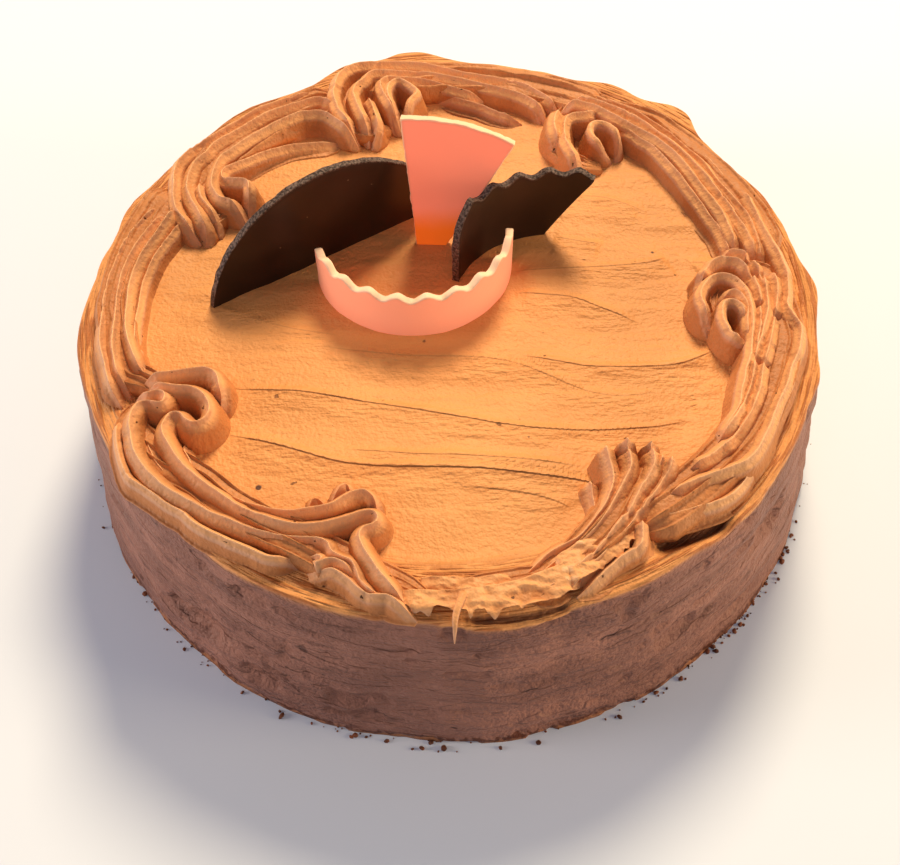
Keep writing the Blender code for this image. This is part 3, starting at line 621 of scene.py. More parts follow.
# the crests that the nozzle left on each scroll: height and half-width at the foot in millimetres,
# how torn the edge is, then points of the crest
crests = {
    "scroll_left": (
        (6.4, 2.0, 0.1, ((-88.5, -41), (-89.4, -39.8), (-91, -37.3), (-93.1, -31.9), (-94.8, -26.5),
          (-96.5, -20.2), (-97.3, -12), (-98, -4), (-97.4, 5), (-95.3, 15), (-91.5, 24.5), (-86.5, 33))),
        (7.2, 1.9, 0.1, ((-86.5, -38), (-87.7, -36), (-89.8, -32.7), (-91.9, -26.5), (-92.9, -20.2),
          (-93.5, -12), (-94, -4), (-93.5, 5), (-91.3, 14), (-88, 22), (-84.5, 29))),
        (7.8, 1.9, 0.08, ((-80.5, -33), (-81.9, -32.7), (-84, -31.5), (-86, -27.7), (-88.1, -23.1),
          (-89.4, -18.1), (-90.2, -10), (-90.6, -2), (-89.8, 6), (-88.2, 12.5), (-86.6, 17), (-84.4, 23),
          (-82.5, 27.8), (-80.5, 31))),
        (5.6, 1.4, 0.08, ((-80, -32), (-82.3, -32.3), (-84.4, -29.4), (-86, -25.2), (-87.3, -20.2),
          (-87.9, -13), (-88.2, -5), (-87.6, 2), (-86.4, 8.5), (-84.4, 14.6), (-82.5, 19), (-80.7, 23),
          (-78, 27))),
        (9.0, 2.4, 0.06, ((-84.4, -35.6), (-80.2, -36), (-76, -35.6), (-74.4, -35.2), (-70.6, -34.6),
          (-66, -34.3), (-63.5, -35.2), (-61.9, -37.3), (-61.2, -39.8), (-60.8, -42.5), (-61.8, -45.6))),
        (3.6, 2.4, 0.05, ((-76, -33.5), (-72.5, -31.8), (-70.3, -31.2), (-68, -33.5))),
    ),
    "scroll_upper_left": (
        (8.0, 2.3, 0.08, ((-34, 71), (-38, 75), (-41.5, 76.8), (-45, 76), (-48, 74.7), (-55, 71.7),
          (-60, 68.3), (-65, 64), (-70, 59.4), (-74, 55), (-75.7, 51.5), (-78.8, 47.4), (-79.8, 41.5),
          (-79.8, 36.4), (-78.4, 32), (-75.7, 27), (-74, 23.7), (-72.5, 21.4), (-72.6, 18))),
        (8.2, 2.1, 0.08, ((-29, 60.5), (-32, 63), (-36, 66.8), (-39, 69.3), (-42, 70), (-45, 69.6),
          (-48, 69), (-55, 65), (-60, 61), (-65, 56), (-68.4, 51.7), (-70.7, 49.2), (-72, 45), (-72.5, 41),
          (-72.3, 37.4), (-71, 34.2), (-69, 31.2), (-65.7, 29.6), (-63, 27.4), (-61, 25.5))),
        ((2.0, 9.5), 1.8, 0.1, ((-34, 62.5), (-40, 61.5), (-48, 60.3), (-53, 58.3), (-58.4, 55),
          (-63.4, 50.6), (-67.5, 47), (-69.5, 45), (-70.2, 42.4), (-69.3, 39.6), (-66.5, 38.5), (-62, 37.4),
          (-60.7, 35), (-60.5, 30.5), (-61, 27.8))),
        (7.4, 2.0, 0.08, ((-42, 83), (-51, 78.6), (-60, 73.3), (-68, 66.5), (-75, 59.5), (-80.5, 54),
          (-84, 48), (-84.6, 43), (-84, 38), (-83.4, 33), (-82, 28), (-79.3, 23.7), (-76.6, 20.5),
          (-74.3, 18.7))),
        (7.8, 1.3, 0.05, ((-76.6, 43), (-76.6, 40), (-76, 35), (-74.8, 31.5), (-72.5, 28.3), (-69.8, 24.6),
          (-69.3, 21.4))),
    ),
    "scroll_top": (
        (5.2, 2.0, 0.1, ((41, 73), (37.5, 78), (33, 82.5), (28, 86.5), (18, 90.5), (10, 93), (0, 95),
          (-10, 96), (-20, 95.9), (-27, 95.3), (-33, 93.5))),
        ((6.6, 9.2), 2.2, 0.07, ((37, 72), (33, 77), (29, 81), (23.4, 85), (16, 87), (6, 89.5),
          (-1.5, 91.8), (-10, 94), (-20, 94.6), (-28, 94), (-31.5, 92.6), (-34.5, 90), (-36.3, 86.5),
          (-37, 82), (-37.3, 78), (-36.3, 73), (-35, 69), (-32, 64.5), (-29, 61.5))),
        ((6.0, 9.4), 2.0, 0.07, ((32, 70.5), (29.8, 74.4), (26, 78.5), (22.5, 80.8), (16, 82.7), (6, 86.5),
          (-1.5, 88.5), (-10, 90), (-20, 90.2), (-24, 90), (-26.5, 88.5), (-28, 85.5), (-30, 83), (-31, 79),
          (-30.5, 76), (-29.5, 72), (-28, 68), (-26, 64), (-25.5, 61))),
        (8.2, 1.6, 0.07, ((-25.5, 82), (-26, 78), (-24.5, 72), (-23, 67), (-22.5, 64), (-24, 60))),
        ((5.6, 9.6), 1.9, 0.07, ((13, 81), (1, 84), (-6, 86.5), (-10, 87.3), (-19, 87.5), (-21, 86.5),
          (-22.3, 84.5), (-22, 81.5), (-21, 78), (-19.5, 74), (-17.5, 70), (-16, 67))),
        (3.4, 1.5, 0.1, ((24, 71.5), (16, 74.5), (11, 77.5), (5, 80), (0, 82.5), (-5, 84))),
        (9.6, 1.2, 0.06, ((-15.3, 67), (-17, 70), (-19.4, 76), (-19.6, 80), (-18, 83.2), (-16, 83.9),
          (-14, 82.5), (-11.5, 80), (-10.3, 77.5), (-12.5, 74), (-13.5, 70), (-15, 67))),
    ),
    "scroll_upper_right": (
        (5.0, 2.0, 0.1, ((24, 90.5), (31, 87.5), (40, 83), (48, 79.8), (56, 75.5), (63, 71), (69, 65.5),
          (75, 58.5), (80, 50), (84.5, 41), (87.5, 32))),
        ((7.6, 6.2), 1.8, 0.08, ((47, 77.5), (53, 74.5), (58, 71), (63, 66.5), (68, 61), (72, 55.5),
          (76, 49.5), (79.5, 43.5), (84, 33.5), (87.4, 26), (88.9, 21), (89.5, 16), (90.3, 10), (90.8, 4))),
        ((9.4, 7.0), 2.0, 0.06, ((36.8, 74.4), (39.3, 74.6), (42.5, 74.4), (46, 73.3), (49.8, 71.7),
          (54.3, 69), (58, 66.2), (61.6, 62.6), (65.2, 58.5), (68.9, 54.4), (72, 50.3), (74.8, 46.2),
          (77.5, 41), (81, 33), (84, 25.5), (85.6, 21), (87, 16), (88, 10.5), (88.3, 5))),
        ((9.6, 6.8), 1.8, 0.06, ((35, 70), (36, 71.5), (38, 72.4), (40.7, 72.6), (43.4, 71.7), (47, 70),
          (50.7, 67), (54.3, 64), (58, 60.8), (63, 57), (66, 54), (69.3, 50), (72, 45.8), (75, 39),
          (78, 31.5), (80.8, 24), (82, 18.5), (83, 13), (83.6, 8))),
        ((7.6, 4.6), 1.8, 0.06, ((51.6, 66.2), (55.2, 62), (58, 59), (60.2, 56.7), (63.4, 54), (66, 50),
          (68.4, 45.8), (69.8, 42.6), (73, 35.5), (76, 28.5), (78.6, 22.5), (80.2, 18), (81.2, 12),
          (81.8, 6.5))),
        (9.0, 2.4, 0.04, ((37.5, 73.5), (35.8, 70.5), (34.6, 67.4), (33.8, 64.5), (33.4, 61.5),
          (33.6, 58.5), (34.6, 55.2), (36.8, 52.6))),
        (9.2, 1.9, 0.06, ((51, 66), (47, 68), (43.4, 67), (39.8, 66.7), (37.5, 65), (36.6, 61.7),
          (36.4, 58.5), (36.6, 54.4), (37.5, 50.8), (39, 47), (39.8, 44.4), (38.4, 42.4))),
        (9.6, 0.9, 0.03, ((51.6, 52.8), (49.0, 52.0), (46.6, 53.2), (44.8, 55.4), (44.2, 58.2),
          (45.0, 60.8), (47.4, 62.0), (50.0, 61.2), (52.0, 59.0), (53.4, 56.4), (53.6, 54.2),
          (52.2, 52.8))),
    ),
    "scroll_right": (
        (7.8, 1.8, 0.1, ((87.5, 36), (90, 27), (91.8, 18.5), (92.9, 13.2), (94.4, 7.4), (95, 1.5),
          (95.2, -3.2), (94.7, -8.5), (93.5, -13.2), (94.2, -17), (95.6, -20.5), (95.3, -23.2),
          (93.8, -28.5), (91.8, -32.6), (90, -36.2), (88.2, -40.3), (86.5, -43.8), (84.7, -47.4),
          (82.9, -50.9), (81.2, -54.4), (79.4, -57.4), (77.6, -60.3), (75.9, -62.6), (72.9, -65),
          (70, -66.2), (65.9, -67.9), (60, -70), (55, -72), (50.5, -74))),
        (8.6, 2.0, 0.26, ((90.6, 3), (91.3, -2), (91.5, -6), (90.9, -11), (89.8, -15.5), (88.5, -20),
          (87, -25), (85.3, -29.5), (83.5, -33.5), (81.8, -38), (80.6, -42), (79, -46), (77, -50),
          (74.1, -54), (71, -58), (67.5, -61), (63, -64), (57, -66.5))),
        (9.2, 1.9, 0.3, ((74, 3.6), (77.6, 4.7), (80.6, 5.3), (83.5, 5), (85.3, 3.2), (86.5, 1.5),
          (87.6, -0.9), (88.2, -4), (88.3, -8), (88, -12), (87, -16), (85.9, -20), (84.5, -24), (82.9, -28),
          (81, -33), (79.2, -38), (77.6, -43), (75.9, -47), (73.5, -51), (70, -55), (66, -59.5))),
        (9.8, 1.7, 0.28, ((70.2, -8.5), (70.6, -5.6), (71.8, -1.5), (73.8, 1.2), (76.8, 2.4), (79.6, 2.4),
          (82.1, 1.5), (83.8, -0.9), (85, -3.8), (85.6, -7.4), (85.9, -10.9), (85.4, -15.6), (84.7, -20.3),
          (83.2, -25), (81.8, -29.1), (79.4, -34))),
        (9.4, 1.5, 0.1, ((73.4, -20), (71.2, -17.9), (70, -14.4), (69.4, -10.9), (70, -8.5), (71.3, -6),
          (72.9, -4.2), (75.3, -2.9), (77.6, -3.2), (80, -4.7), (81.5, -7.4), (82.4, -10.3), (82.8, -14.4),
          (82.4, -19.1), (81.8, -22.6), (80.6, -27.9), (79.4, -32.6), (77.6, -36.8), (76.8, -39.7),
          (75.6, -43.2), (74.7, -46.8), (73.5, -49.7), (71.2, -52.6), (68.8, -55.6), (66.5, -58.5))),
        (9.8, 1.2, 0.06, ((80.3, -22.6), (80.6, -18), (80, -15), (78, -13.2), (75.9, -13.6), (74.7, -15.6),
          (74.3, -19.1), (75, -22.6), (76.5, -25), (78.2, -26.2), (79.7, -25), (80.4, -22))),
        (9.4, 1.5, 0.08, ((75.2, -14), (75.9, -10.9), (78.2, -9.1), (80.3, -10), (81.5, -12.7),
          (81.5, -16.2), (80.8, -20.3), (80.5, -24), (79.9, -29))),
        ((5.6, 3.6), 1.4, 0.08, ((46.5, -80), (51, -79), (56, -77.5), (61, -76), (66.5, -74), (71, -70.5),
          (75, -65.5), (78, -59))),
    ),
    "scroll_front_right": (
        ((9.0, 2.2), 2.2, 0.14, ((38.2, -59.5), (39.7, -67), (39.5, -70.5), (38.5, -73.5), (37, -76.5),
          (35, -79), (32.5, -82), (30, -84), (26, -86), (22.5, -88), (19.5, -90.5), (17.5, -92.5),
          (15, -95))),
        ((3.8, 1.4), 2.2, 0.1, ((34.0, -67), (34.9, -72), (35.2, -75), (34.5, -78), (33.5, -80), (31, -82),
          (27, -84.5), (23, -87))),
        ((9.4, 2.4), 2.2, 0.16, ((43.6, -57.5), (44.4, -64.5), (44.2, -67), (43, -69.5), (41.5, -72),
          (39.5, -75), (37.5, -78), (35.5, -80.5), (33, -83), (29, -86.5), (25, -89.5), (21, -92.5),
          (18, -95.5))),
        ((9.6, 2.8), 2.2, 0.2, ((49.6, -58), (50, -62.5), (50, -66), (48.5, -69), (46.5, -71.5),
          (45, -74.5), (43, -78), (40, -81), (37.5, -84), (35, -87), (32.5, -89), (29.5, -91.5), (26, -94),
          (22, -96.5), (17, -98))),
        ((8.0, 2.8), 2.0, 0.4, ((55.6, -62.5), (54, -67), (52, -70), (50, -73), (48, -75), (46.5, -77),
          (45.2, -78), (44, -80), (41.5, -82.5), (38.5, -85), (36, -88), (33, -90.5), (30.5, -93),
          (27, -95))),
        ((5.4, 2.4), 1.6, 0.3, ((46, -79), (46, -83), (45, -86.5), (41, -89), (37, -92), (33.5, -95),
          (29, -98))),
        ((7.4, 6.8), 1.3, 0.16, ((52.6, -61.5), (52.6, -63), (51.5, -66), (50, -69), (48.5, -71.5),
          (47, -73.5))),
    ),
    "scroll_front_left": (
        ((9.6, 7.6), 2.3, 0.05, ((-82.7, -37.8), (-79, -39), (-75.2, -40), (-71.5, -40.4), (-68.5, -40.8),
          (-66, -42.3), (-64, -44.4), (-62.9, -46.9), (-62.9, -49.4), (-64.4, -51.5), (-66.5, -52.1),
          (-68.5, -51), (-70.2, -49), (-72.7, -49), (-73.7, -51), (-74.2, -53.5), (-73.5, -56),
          (-71.9, -58.6), (-70.6, -60.8), (-68.8, -63.2), (-65.7, -66.3), (-62, -69.5), (-58.3, -72.4),
          (-54.6, -75), (-50.4, -77.6), (-46.2, -79.5), (-42, -80.8), (-37.8, -81.5), (-33.6, -81.3),
          (-29.4, -80.3), (-25.7, -79.2), (-22.5, -78.2), (-19.9, -78), (-18.6, -78.9), (-18.3, -80.3),
          (-19.4, -81.6), (-21.5, -82.4), (-22.5, -83.7), (-22.5, -85.3), (-21.5, -87.9), (-19.9, -90.5),
          (-17.8, -93.7), (-15.7, -96.3), (-13.5, -98.8), (-10.5, -101.5))),
        ((9.4, 6.0), 2.3, 0.06, ((-85, -39.5), (-83, -41), (-81.5, -41.5), (-79.4, -42.3), (-77.1, -41.9),
          (-75.2, -42.7), (-74.8, -44.4), (-75.4, -45.8), (-77.2, -45.5), (-79, -44.8), (-80.6, -45),
          (-81.9, -46), (-82.7, -48.5), (-82.8, -51.5), (-82.3, -54), (-81.4, -57.5), (-79.9, -61),
          (-77.3, -64.7), (-74.1, -67.9), (-69.9, -71.3), (-66.2, -73.7), (-62, -76), (-58.3, -78.2),
          (-54.1, -80), (-49.4, -81.6), (-45.2, -82.9), (-40.9, -83.9), (-37.3, -84.2), (-33, -84.5),
          (-30.5, -85.8), (-29.4, -88), (-27, -89.5), (-24.6, -90.5), (-23.2, -93), (-22, -95.8),
          (-19.9, -97.9), (-17, -98.9), (-14, -99.3))),
        ((5.4, 8.4), 1.8, 0.06, ((-71, -54), (-69.6, -54.2), (-69.2, -56), (-68.5, -58.1), (-67.3, -60.2),
          (-65.5, -63.7), (-63.6, -65.8), (-59.4, -70), (-54.6, -72.6), (-50.4, -74.7), (-45.2, -76.3),
          (-39.9, -77.1), (-36.7, -76.9), (-33, -76.6), (-29.4, -75.8), (-26.7, -73.9), (-24.1, -72.6),
          (-21.5, -72.4), (-19.4, -73.7), (-18.8, -75.8), (-18.8, -77.5))),
        (4.6, 1.6, 0.06, ((-77.7, -50.5), (-78.5, -54.8), (-77.3, -57.7), (-75.5, -61), (-72.5, -64.5),
          (-69, -67.8))),
        (5.6, 1.0, 0.12, ((-87.2, -45), (-87, -52), (-85.2, -58.5), (-82, -65.3), (-78.8, -67.9),
          (-75.2, -70.5), (-71.5, -73.4), (-66.7, -76.3), (-64.6, -78.4), (-60.9, -81.1), (-56.7, -83.2),
          (-52.5, -85.3), (-48.3, -87.1), (-45.2, -88.7), (-42, -89.2), (-38.8, -88.7), (-36.2, -89.2))),
        (6.2, 1.5, 0.1, ((-38, -87), (-35.5, -88.5), (-33, -88.7), (-31.5, -89.8), (-33, -91),
          (-29.4, -89.9), (-26.2, -91.1), (-23.6, -94.2), (-21.5, -96.5))),
        (5.6, 1.5, 0.12, ((-35.5, -90.5), (-33, -91.8), (-29.4, -92.1), (-26.7, -93.7), (-24.6, -95.3),
          (-22, -97.9), (-18.8, -99.2), (-15.7, -99.3), (-12, -101.5), (-8.8, -103.7))),
        (4.6, 2.2, 0.05, ((-36.7, -76), (-35.5, -73.2), (-33.8, -71.6), (-31.5, -73.4))),
        (6.4, 2.2, 0.05, ((-31, -74.8), (-29, -71.4), (-26.7, -68.8), (-25.2, -71), (-24.4, -73))),
    ),
}

# the drip over the rim: across, along and over the frosting, then radius
drips = {
    "scroll_front_right": (
        ((2.2, -98, 2.6, 1.2), (0.9, -101.5, 3.0, 0.95), (0.2, -104.2, 2.2, 0.72), (0.1, -106.0, 0.8, 0.52),
         (0.0, -106.9, -1.4, 0.36), (0.0, -107.3, -4.4, 0.15)),
    ),
}

# torn sheets: levels over the frosting along the inner and the outer edge, then points of both edges
sheets = {
    "scroll_front_right": (
        (3.2, 3.0, ((-17, -97.5), (-6, -97), (4, -96.5), (14, -95), (24, -91.5), (32, -86.5)),
         ((-15, -101.2), (-6, -101.8), (4, -102.0), (14, -101.4), (23, -99.4), (30, -96))),
        (3.8, 3.4, ((22, -90), (29, -86), (36, -80.5), (42, -75)),
         ((26, -97.5), (34, -92.5), (41, -87), (46.5, -80))),
        (2.1, 1.7, ((-8, -92.6), (4, -93.2), (16, -92.5)), ((-8, -96.4), (4, -97.4), (16, -96.4))),
    ),
}
sheet = {
    "step": 0.4, "across": 26, "thickness": 0.5, "spikes": 1.15, "notches": 1.6, "lumps": 0.9, "droop": 1.1,
}

rib = {
    "step": 0.55, "across": 27, "sink": 1.2, "crestRadius": 0.14, "endTaper": 7.0,
    # crests that stand up in a point where the nozzle was lifted: length of the end, and the rise
    "lifted": {"scroll_front_right": (2.4, 3.4)},
    # share of the fin's depth on the flatter scrolls
    "shallow": {"scroll_upper_right": 0.62, "scroll_top": 0.7, "scroll_upper_left": 0.8, "scroll_right": 0.8},
    # fin: depth of its hollow flank and how quickly it is reached, slope beside it, then slope of the wall
    "finDepth": 2.3, "finReach": 0.85, "slope": 0.34, "wall": 3.2, "wallReach": 2.1,
}


def scrollRoute(scroll):  # stations of a bed: x, y, half-width, height
    tail, head, tailRadius, headRadius, halfWidth = scroll["run"]
    count = max(3, round(abs(head - tail) / 5.0))
    level = scroll.get("runHeight", piping["runHeight"])
    points = [(x, y, width, piping["endHeight"]) for x, y, width in scroll.get("tail", ())]
    for step in range(count):
        angle = math.radians(tail + (head - tail) * step / count)
        radius = tailRadius + (headRadius - tailRadius) * step / count
        points.append((radius * math.cos(angle), radius * math.sin(angle), halfWidth, level))
    points += [(x, y, width, scroll["height"]) for x, y, width in scroll["head"]]
    return evenSteps(smoothCurve(points), piping["step"])


def headingOf(route):  # direction of a route and the way to its left
    along = np.gradient(route[:, :2], axis=0)
    heading = np.unwrap(np.arctan2(along[:, 1], along[:, 0]))
    return heading, np.column_stack((-np.sin(heading), np.cos(heading)))


def fittedWidths(width, heading, lengths):  # half-widths to the left and right that don't cross in a bend
    bend = softened(np.gradient(heading, lengths), 3)
    turn = 1.0 / np.maximum(np.abs(bend), 1e-4)
    left = np.where(bend > 0.0, np.minimum(width, 0.95 * turn), width)
    right = np.where(bend < 0.0, np.minimum(width, 0.95 * turn), width)
    return softened(left, 4), softened(right, 4)


def ridgeShape(across, lengths, seed):  # height share over the bed
    spots = np.column_stack((lengths, np.full(len(lengths), seed * 31.0), np.zeros(len(lengths)))) * mm
    height = np.full((len(lengths), len(across)), piping["floor"]) * (1.0 - across[None, :] ** 6)
    for number, (centre, top) in enumerate(zip(piping["ridges"], piping["ridgeHeights"])):
        wander = 0.09 * ripple(spots, (22, 9, 9), seed + number)[:, None]
        swell = 1.0 + 0.14 * crumple(spots, (16, 9, 9), seed + number + 50)[:, None]
        share = np.clip(1.0 - np.abs(across[None, :] - centre - wander) / piping["ridgeReach"], 0.0, 1.0)
        height = np.maximum(height, top * swell * share ** piping["ridgePower"])
    return np.minimum(height, 1.12)


def closedStrip(bm, rings, crest):  # skin over rings of points, closed at both ends
    grid = bmesh.new()
    column, row = surfaceGrid(grid, rings.shape[1], rings.shape[0])
    moveVertices(grid, rings[row, column])
    shade = grid.verts.layers.float.new("crest")
    for vert, value in zip(grid.verts, crest[row, column]):
        vert[shade] = value
    bmesh.ops.remove_doubles(grid, verts=grid.verts, dist=1e-6)
    bmesh.ops.holes_fill(grid, edges=[edge for edge in grid.edges if edge.is_boundary], sides=0)
    bmesh.ops.recalc_face_normals(grid, faces=grid.faces)
    passed = bpy.data.meshes.new("strip")
    grid.to_mesh(passed)
    grid.free()
    bm.from_mesh(passed)
    bpy.data.meshes.remove(passed)


def roughened(places, sideways, seed, amount=1.0):  # small lumps along the given directions
    lumps = crumple(places, (5, 5, 5), seed) * 0.12 + ripple(places, (1.3, 1.3, 1.3), seed + 1) * 0.05
    return places + lumps[:, None] * sideways * amount * mm


def bedRings(name, seed):  # low bed under the crests of a scroll
    route, lengths = scrollRoute(scrolls[name])
    heading, side = headingOf(route)
    left, right = fittedWidths(route[:, 2], heading, lengths)
    across = np.linspace(-1.0, 1.0, piping["across"])
    share = ridgeShape(across, lengths, seed)
    ends = np.minimum(lengths, lengths[-1] - lengths)
    taper = np.sqrt(np.clip(ends / piping["endTaper"], 0.0, 1.0))
    half = np.where(across[None, :] > 0.0, left[:, None], right[:, None]) * (0.35 + 0.65 * taper)[:, None]
    plan = route[:, None, :2] + side[:, None, :] * (across[None, :] * half)[..., None]
    level = share * (route[:, 3] * (0.25 + 0.75 * taper))[:, None]
    feet = np.array((1.0, -1.0)) * half[:, [-1, 0]]
    foot = np.dstack((route[:, None, :2] + side[:, None, :] * feet[..., None],
                      np.full((len(route), 2), -piping["sink"])))
    top = np.dstack((plan, level))
    rings = np.concatenate((top, foot, top[:, :1]), axis=1)
    # crest share 0: the piping look paints the whole bed with its hollow shade
    crest = np.zeros(rings.shape[:2])
    outward = np.dstack((side[:, None, :] * np.ones((1, rings.shape[1], 1)), np.ones(rings.shape[:2])))
    places = roughened(rings.reshape(-1, 3) * mm, outward.reshape(-1, 3), seed + 90)
    places[:, 2] += cake["height"] * mm
    return places.reshape(rings.shape), crest


def ribRings(name, height, halfWidth, torn, points, seed):  # one crest: a thin fin over hollow flanks
    route, lengths = evenSteps(smoothCurve(points, 8), rib["step"])
    heading, side = headingOf(route)
    left, right = fittedWidths(np.full(len(route), halfWidth + rib["wallReach"]), heading, lengths)
    spread = np.linspace(-1.0, 1.0, rib["across"])
    spread = np.sign(spread) * np.abs(spread) ** 1.6
    spots = np.column_stack((route, np.full(len(route), seed * 0.7))) * mm
    startTaper, rise = rib["lifted"].get(name, (rib["endTaper"], 0.0))
    ends = np.clip(np.minimum(lengths / startTaper, (lengths[-1] - lengths) / rib["endTaper"]), 0.0, 1.0)
    taper = smoothStep(ends, -0.05, 1.0) ** 0.65
    tear = 1.0 + 0.05 * ripple(spots, (9, 9, 9), seed)
    tear += torn * crumple(spots, (5.5, 5.5, 5.5), seed + 1) * 0.35
    tear -= torn * smoothStep(ripple(spots, (3.4, 3.4, 3.4), seed + 2), 0.5, 0.7) * 0.9
    sway = 0.3 * ripple(spots, (8, 8, 8), seed + 3) + 0.5 * torn * ripple(spots, (3.2, 3.2, 3.2), seed + 4)
    half = np.where(spread[None, :] > 0.0, left[:, None], right[:, None]) * (0.25 + 0.75 * taper)[:, None]
    away = np.abs(spread[None, :] * half)
    fromCrest = np.sqrt(away ** 2 + rib["crestRadius"] ** 2) - rib["crestRadius"]
    finDepth = rib["finDepth"] * min(1.0, halfWidth / 1.8) * rib["shallow"].get(name, 1.0)
    depth = finDepth * (1.0 - np.exp(-fromCrest / rib["finReach"])) + rib["slope"] * away
    depth += rib["wall"] * np.maximum(away - halfWidth, 0.0)
    first, last = height if isinstance(height, tuple) else (height, height)
    along = smoothStep(lengths / lengths[-1], 0.0, 1.0)
    top = ((first + (last - first) * along + rise * np.exp(-lengths / 3.0)) * tear * taper)[:, None]
    level = np.maximum(top - depth, -0.4)
    plan = route[:, None, :] + side[:, None, :] * (spread[None, :] * half + sway[:, None])[..., None]
    ridge = np.dstack((plan, level))
    low = np.dstack((plan[:, [-1, 0]], np.full((len(route), 2), -rib["sink"])))
    rings = np.concatenate((ridge, low, ridge[:, :1]), axis=1)
    # crest share, 1 on the crest and falling into the hollows: the piping look paints shade by it low down
    # and a highlight on top
    crest = np.clip(1.0 - depth / 3.0, 0.0, 1.0) * taper[:, None] ** 0.5
    crest = np.concatenate((crest, np.zeros((len(route), 2)), crest[:, :1]), axis=1)
    outward = np.dstack((side[:, None, :] * np.ones((1, rings.shape[1], 1)), 0.5 * np.ones(rings.shape[:2])))
    places = roughened(rings.reshape(-1, 3) * mm, outward.reshape(-1, 3), seed + 5, 0.8)
    places[:, 2] += cake["height"] * mm
    return places.reshape(rings.shape), crest


def roundRings(centres, radii, sides, seed):  # rings round a line of centres, for the drip
    heading = np.gradient(centres, axis=0)
    heading /= np.linalg.norm(heading, axis=1)[:, None]
    across = np.cross(heading, (0.0, 1.0, 0.02))
    across /= np.linalg.norm(across, axis=1)[:, None]
    over = np.cross(heading, across)
    turn = np.linspace(0.0, 2.0 * math.pi, sides)
    rings = centres[:, None] + radii[:, None, None] * (across[:, None] * np.cos(turn)[None, :, None]
                                                       + over[:, None] * np.sin(turn)[None, :, None])
    lumps = 1.0 + 0.12 * ripple(rings.reshape(-1, 3) * mm, (2.5, 2.5, 3.5), seed).reshape(rings.shape[:2])
    rings = centres[:, None] + (rings - centres[:, None]) * lumps[..., None]
    rings[:, -1] = rings[:, 0]
    rings[..., 2] += cake["height"]
    # the drip's crest share rises from 0.3 to 0.9 along it, so it is painted from shade towards highlight
    return rings * mm, np.linspace(0.3, 0.9, len(centres))[:, None] * np.ones((1, sides))


def sheetRings(inner, outer, innerPoints, outerPoints, seed):  # a crumpled sheet with a spiky outer edge
    route, lengths = evenSteps(smoothCurve(outerPoints, 8), sheet["step"])
    near = smoothCurve(innerPoints, 40)
    near = near[np.rint(np.linspace(0, len(near) - 1, len(route))).astype(int)]
    spots = np.column_stack((route, np.full(len(route), seed * 0.9))) * mm
    spikes = 2.0 * ripple(spots, (2.0, 2.0, 2.0), seed) + 0.8 * ripple(spots, (5, 5, 5), seed + 1)
    spikes = np.clip(spikes, 0.0, 1.4) ** 1.6
    notches = smoothStep(ripple(spots, (3.6, 3.6, 3.6), seed + 2), 0.35, 0.8) * sheet["notches"]
    outwards = route - near
    outwards /= np.linalg.norm(outwards, axis=1)[:, None]
    ends = smoothStep(np.minimum(lengths, lengths[-1] - lengths) / 5.0, 0.0, 1.0)
    edge = route + outwards * ((spikes * sheet["spikes"] - notches) * ends)[:, None]
    share = np.linspace(0.0, 1.0, sheet["across"])
    plan = near[:, None] + (edge - near)[:, None] * share[None, :, None]
    flat = np.dstack((plan, np.full(plan.shape[:2], seed * 1.1))) * mm
    lumps = crumple(flat.reshape(-1, 3), (5.5, 2.6, 5), seed + 3).reshape(plan.shape[:2])
    droop = sheet["droop"] * (share[None, :] ** 6) * spikes[:, None]
    level = inner + (outer - inner) * share[None, :] + sheet["lumps"] * lumps - droop
    level = level * (0.3 + 0.7 * ends)[:, None]
    shade = np.clip(0.55 + 0.5 * lumps, 0.0, 1.0)
    thickness = sheet["thickness"] * (1.05 - share[None, :]) * 2.0
    over = np.dstack((plan, level))
    under = np.dstack((plan, np.where(share[None, :] > 0.5, level - thickness, -1.0)))
    rings = np.concatenate((over, under[:, ::-1], over[:, :1]), axis=1)
    crest = np.concatenate((shade, np.zeros(shade.shape), shade[:, :1]), axis=1)
    rings[..., 2] += cake["height"]
    return rings * mm, crest


def makeScroll(name, look, seed):
    bm = bmesh.new()
    bm.verts.layers.float.new("crest")
    closedStrip(bm, *bedRings(name, seed))
    for number, (height, halfWidth, torn, points) in enumerate(crests[name]):
        closedStrip(bm, *ribRings(name, height, halfWidth, torn, points, seed + 11 * number))
    for inner, outer, innerPoints, outerPoints in sheets.get(name, ()):
        closedStrip(bm, *sheetRings(inner, outer, innerPoints, outerPoints, seed + 7))
    for points in drips.get(name, ()):
        route = smoothCurve(points, 6)
        closedStrip(bm, *roundRings(route[:, :3], route[:, 3], 16, seed + 5))
    return addPiece(name + "_icing", bm, look, "piping", name)


def pipingLook():
    look = Look("piped frosting", {"Roughness": 0.5, "IOR": 1.42, "Specular IOR Level": 0.35})
    shades = piping["colours"]
    crest, steep = look.stored("crest"), look.stored("steep")
    cloud = look.noise(90.0, 2.0)
    grain = look.noise(900.0, 1.0)
    drag = look.noise(520.0, 2.0, (1.0, 1.0, 0.35))
    pit = (look.pits(420.0, 0.07) + look.pits(230.0, 0.02)).least(1.0)
    # painted light and shade: shade in the hollows and on the bed, on steep walls and in the pits, a
    # highlight along the crests; the flank and cloud colours are the frosting's own
    look.feed("Base Color", look.layered(
        shades["hollow"],
        (crest.ramp(0.0, 0.5), shades["flank"]),
        (cloud.ramp(0.4, 0.7) * 0.4, shades["cloud"]),
        (steep.ramp(0.25, 0.75) * crest.ramp(0.0, 0.25) * 0.6, shades["wall"]),
        (crest.ramp(0.86, 0.97) * 0.8, shades["crest"]),
        (pit, shades["pit"]),
    ))
    look.feed("Roughness", grain * 0.12 + 0.46)
    look.bump(grain * 0.28 + drag * 0.4 + look.noise(170.0, 2.0) * 0.5 - pit * 0.7)
    return look


# chocolate decorations

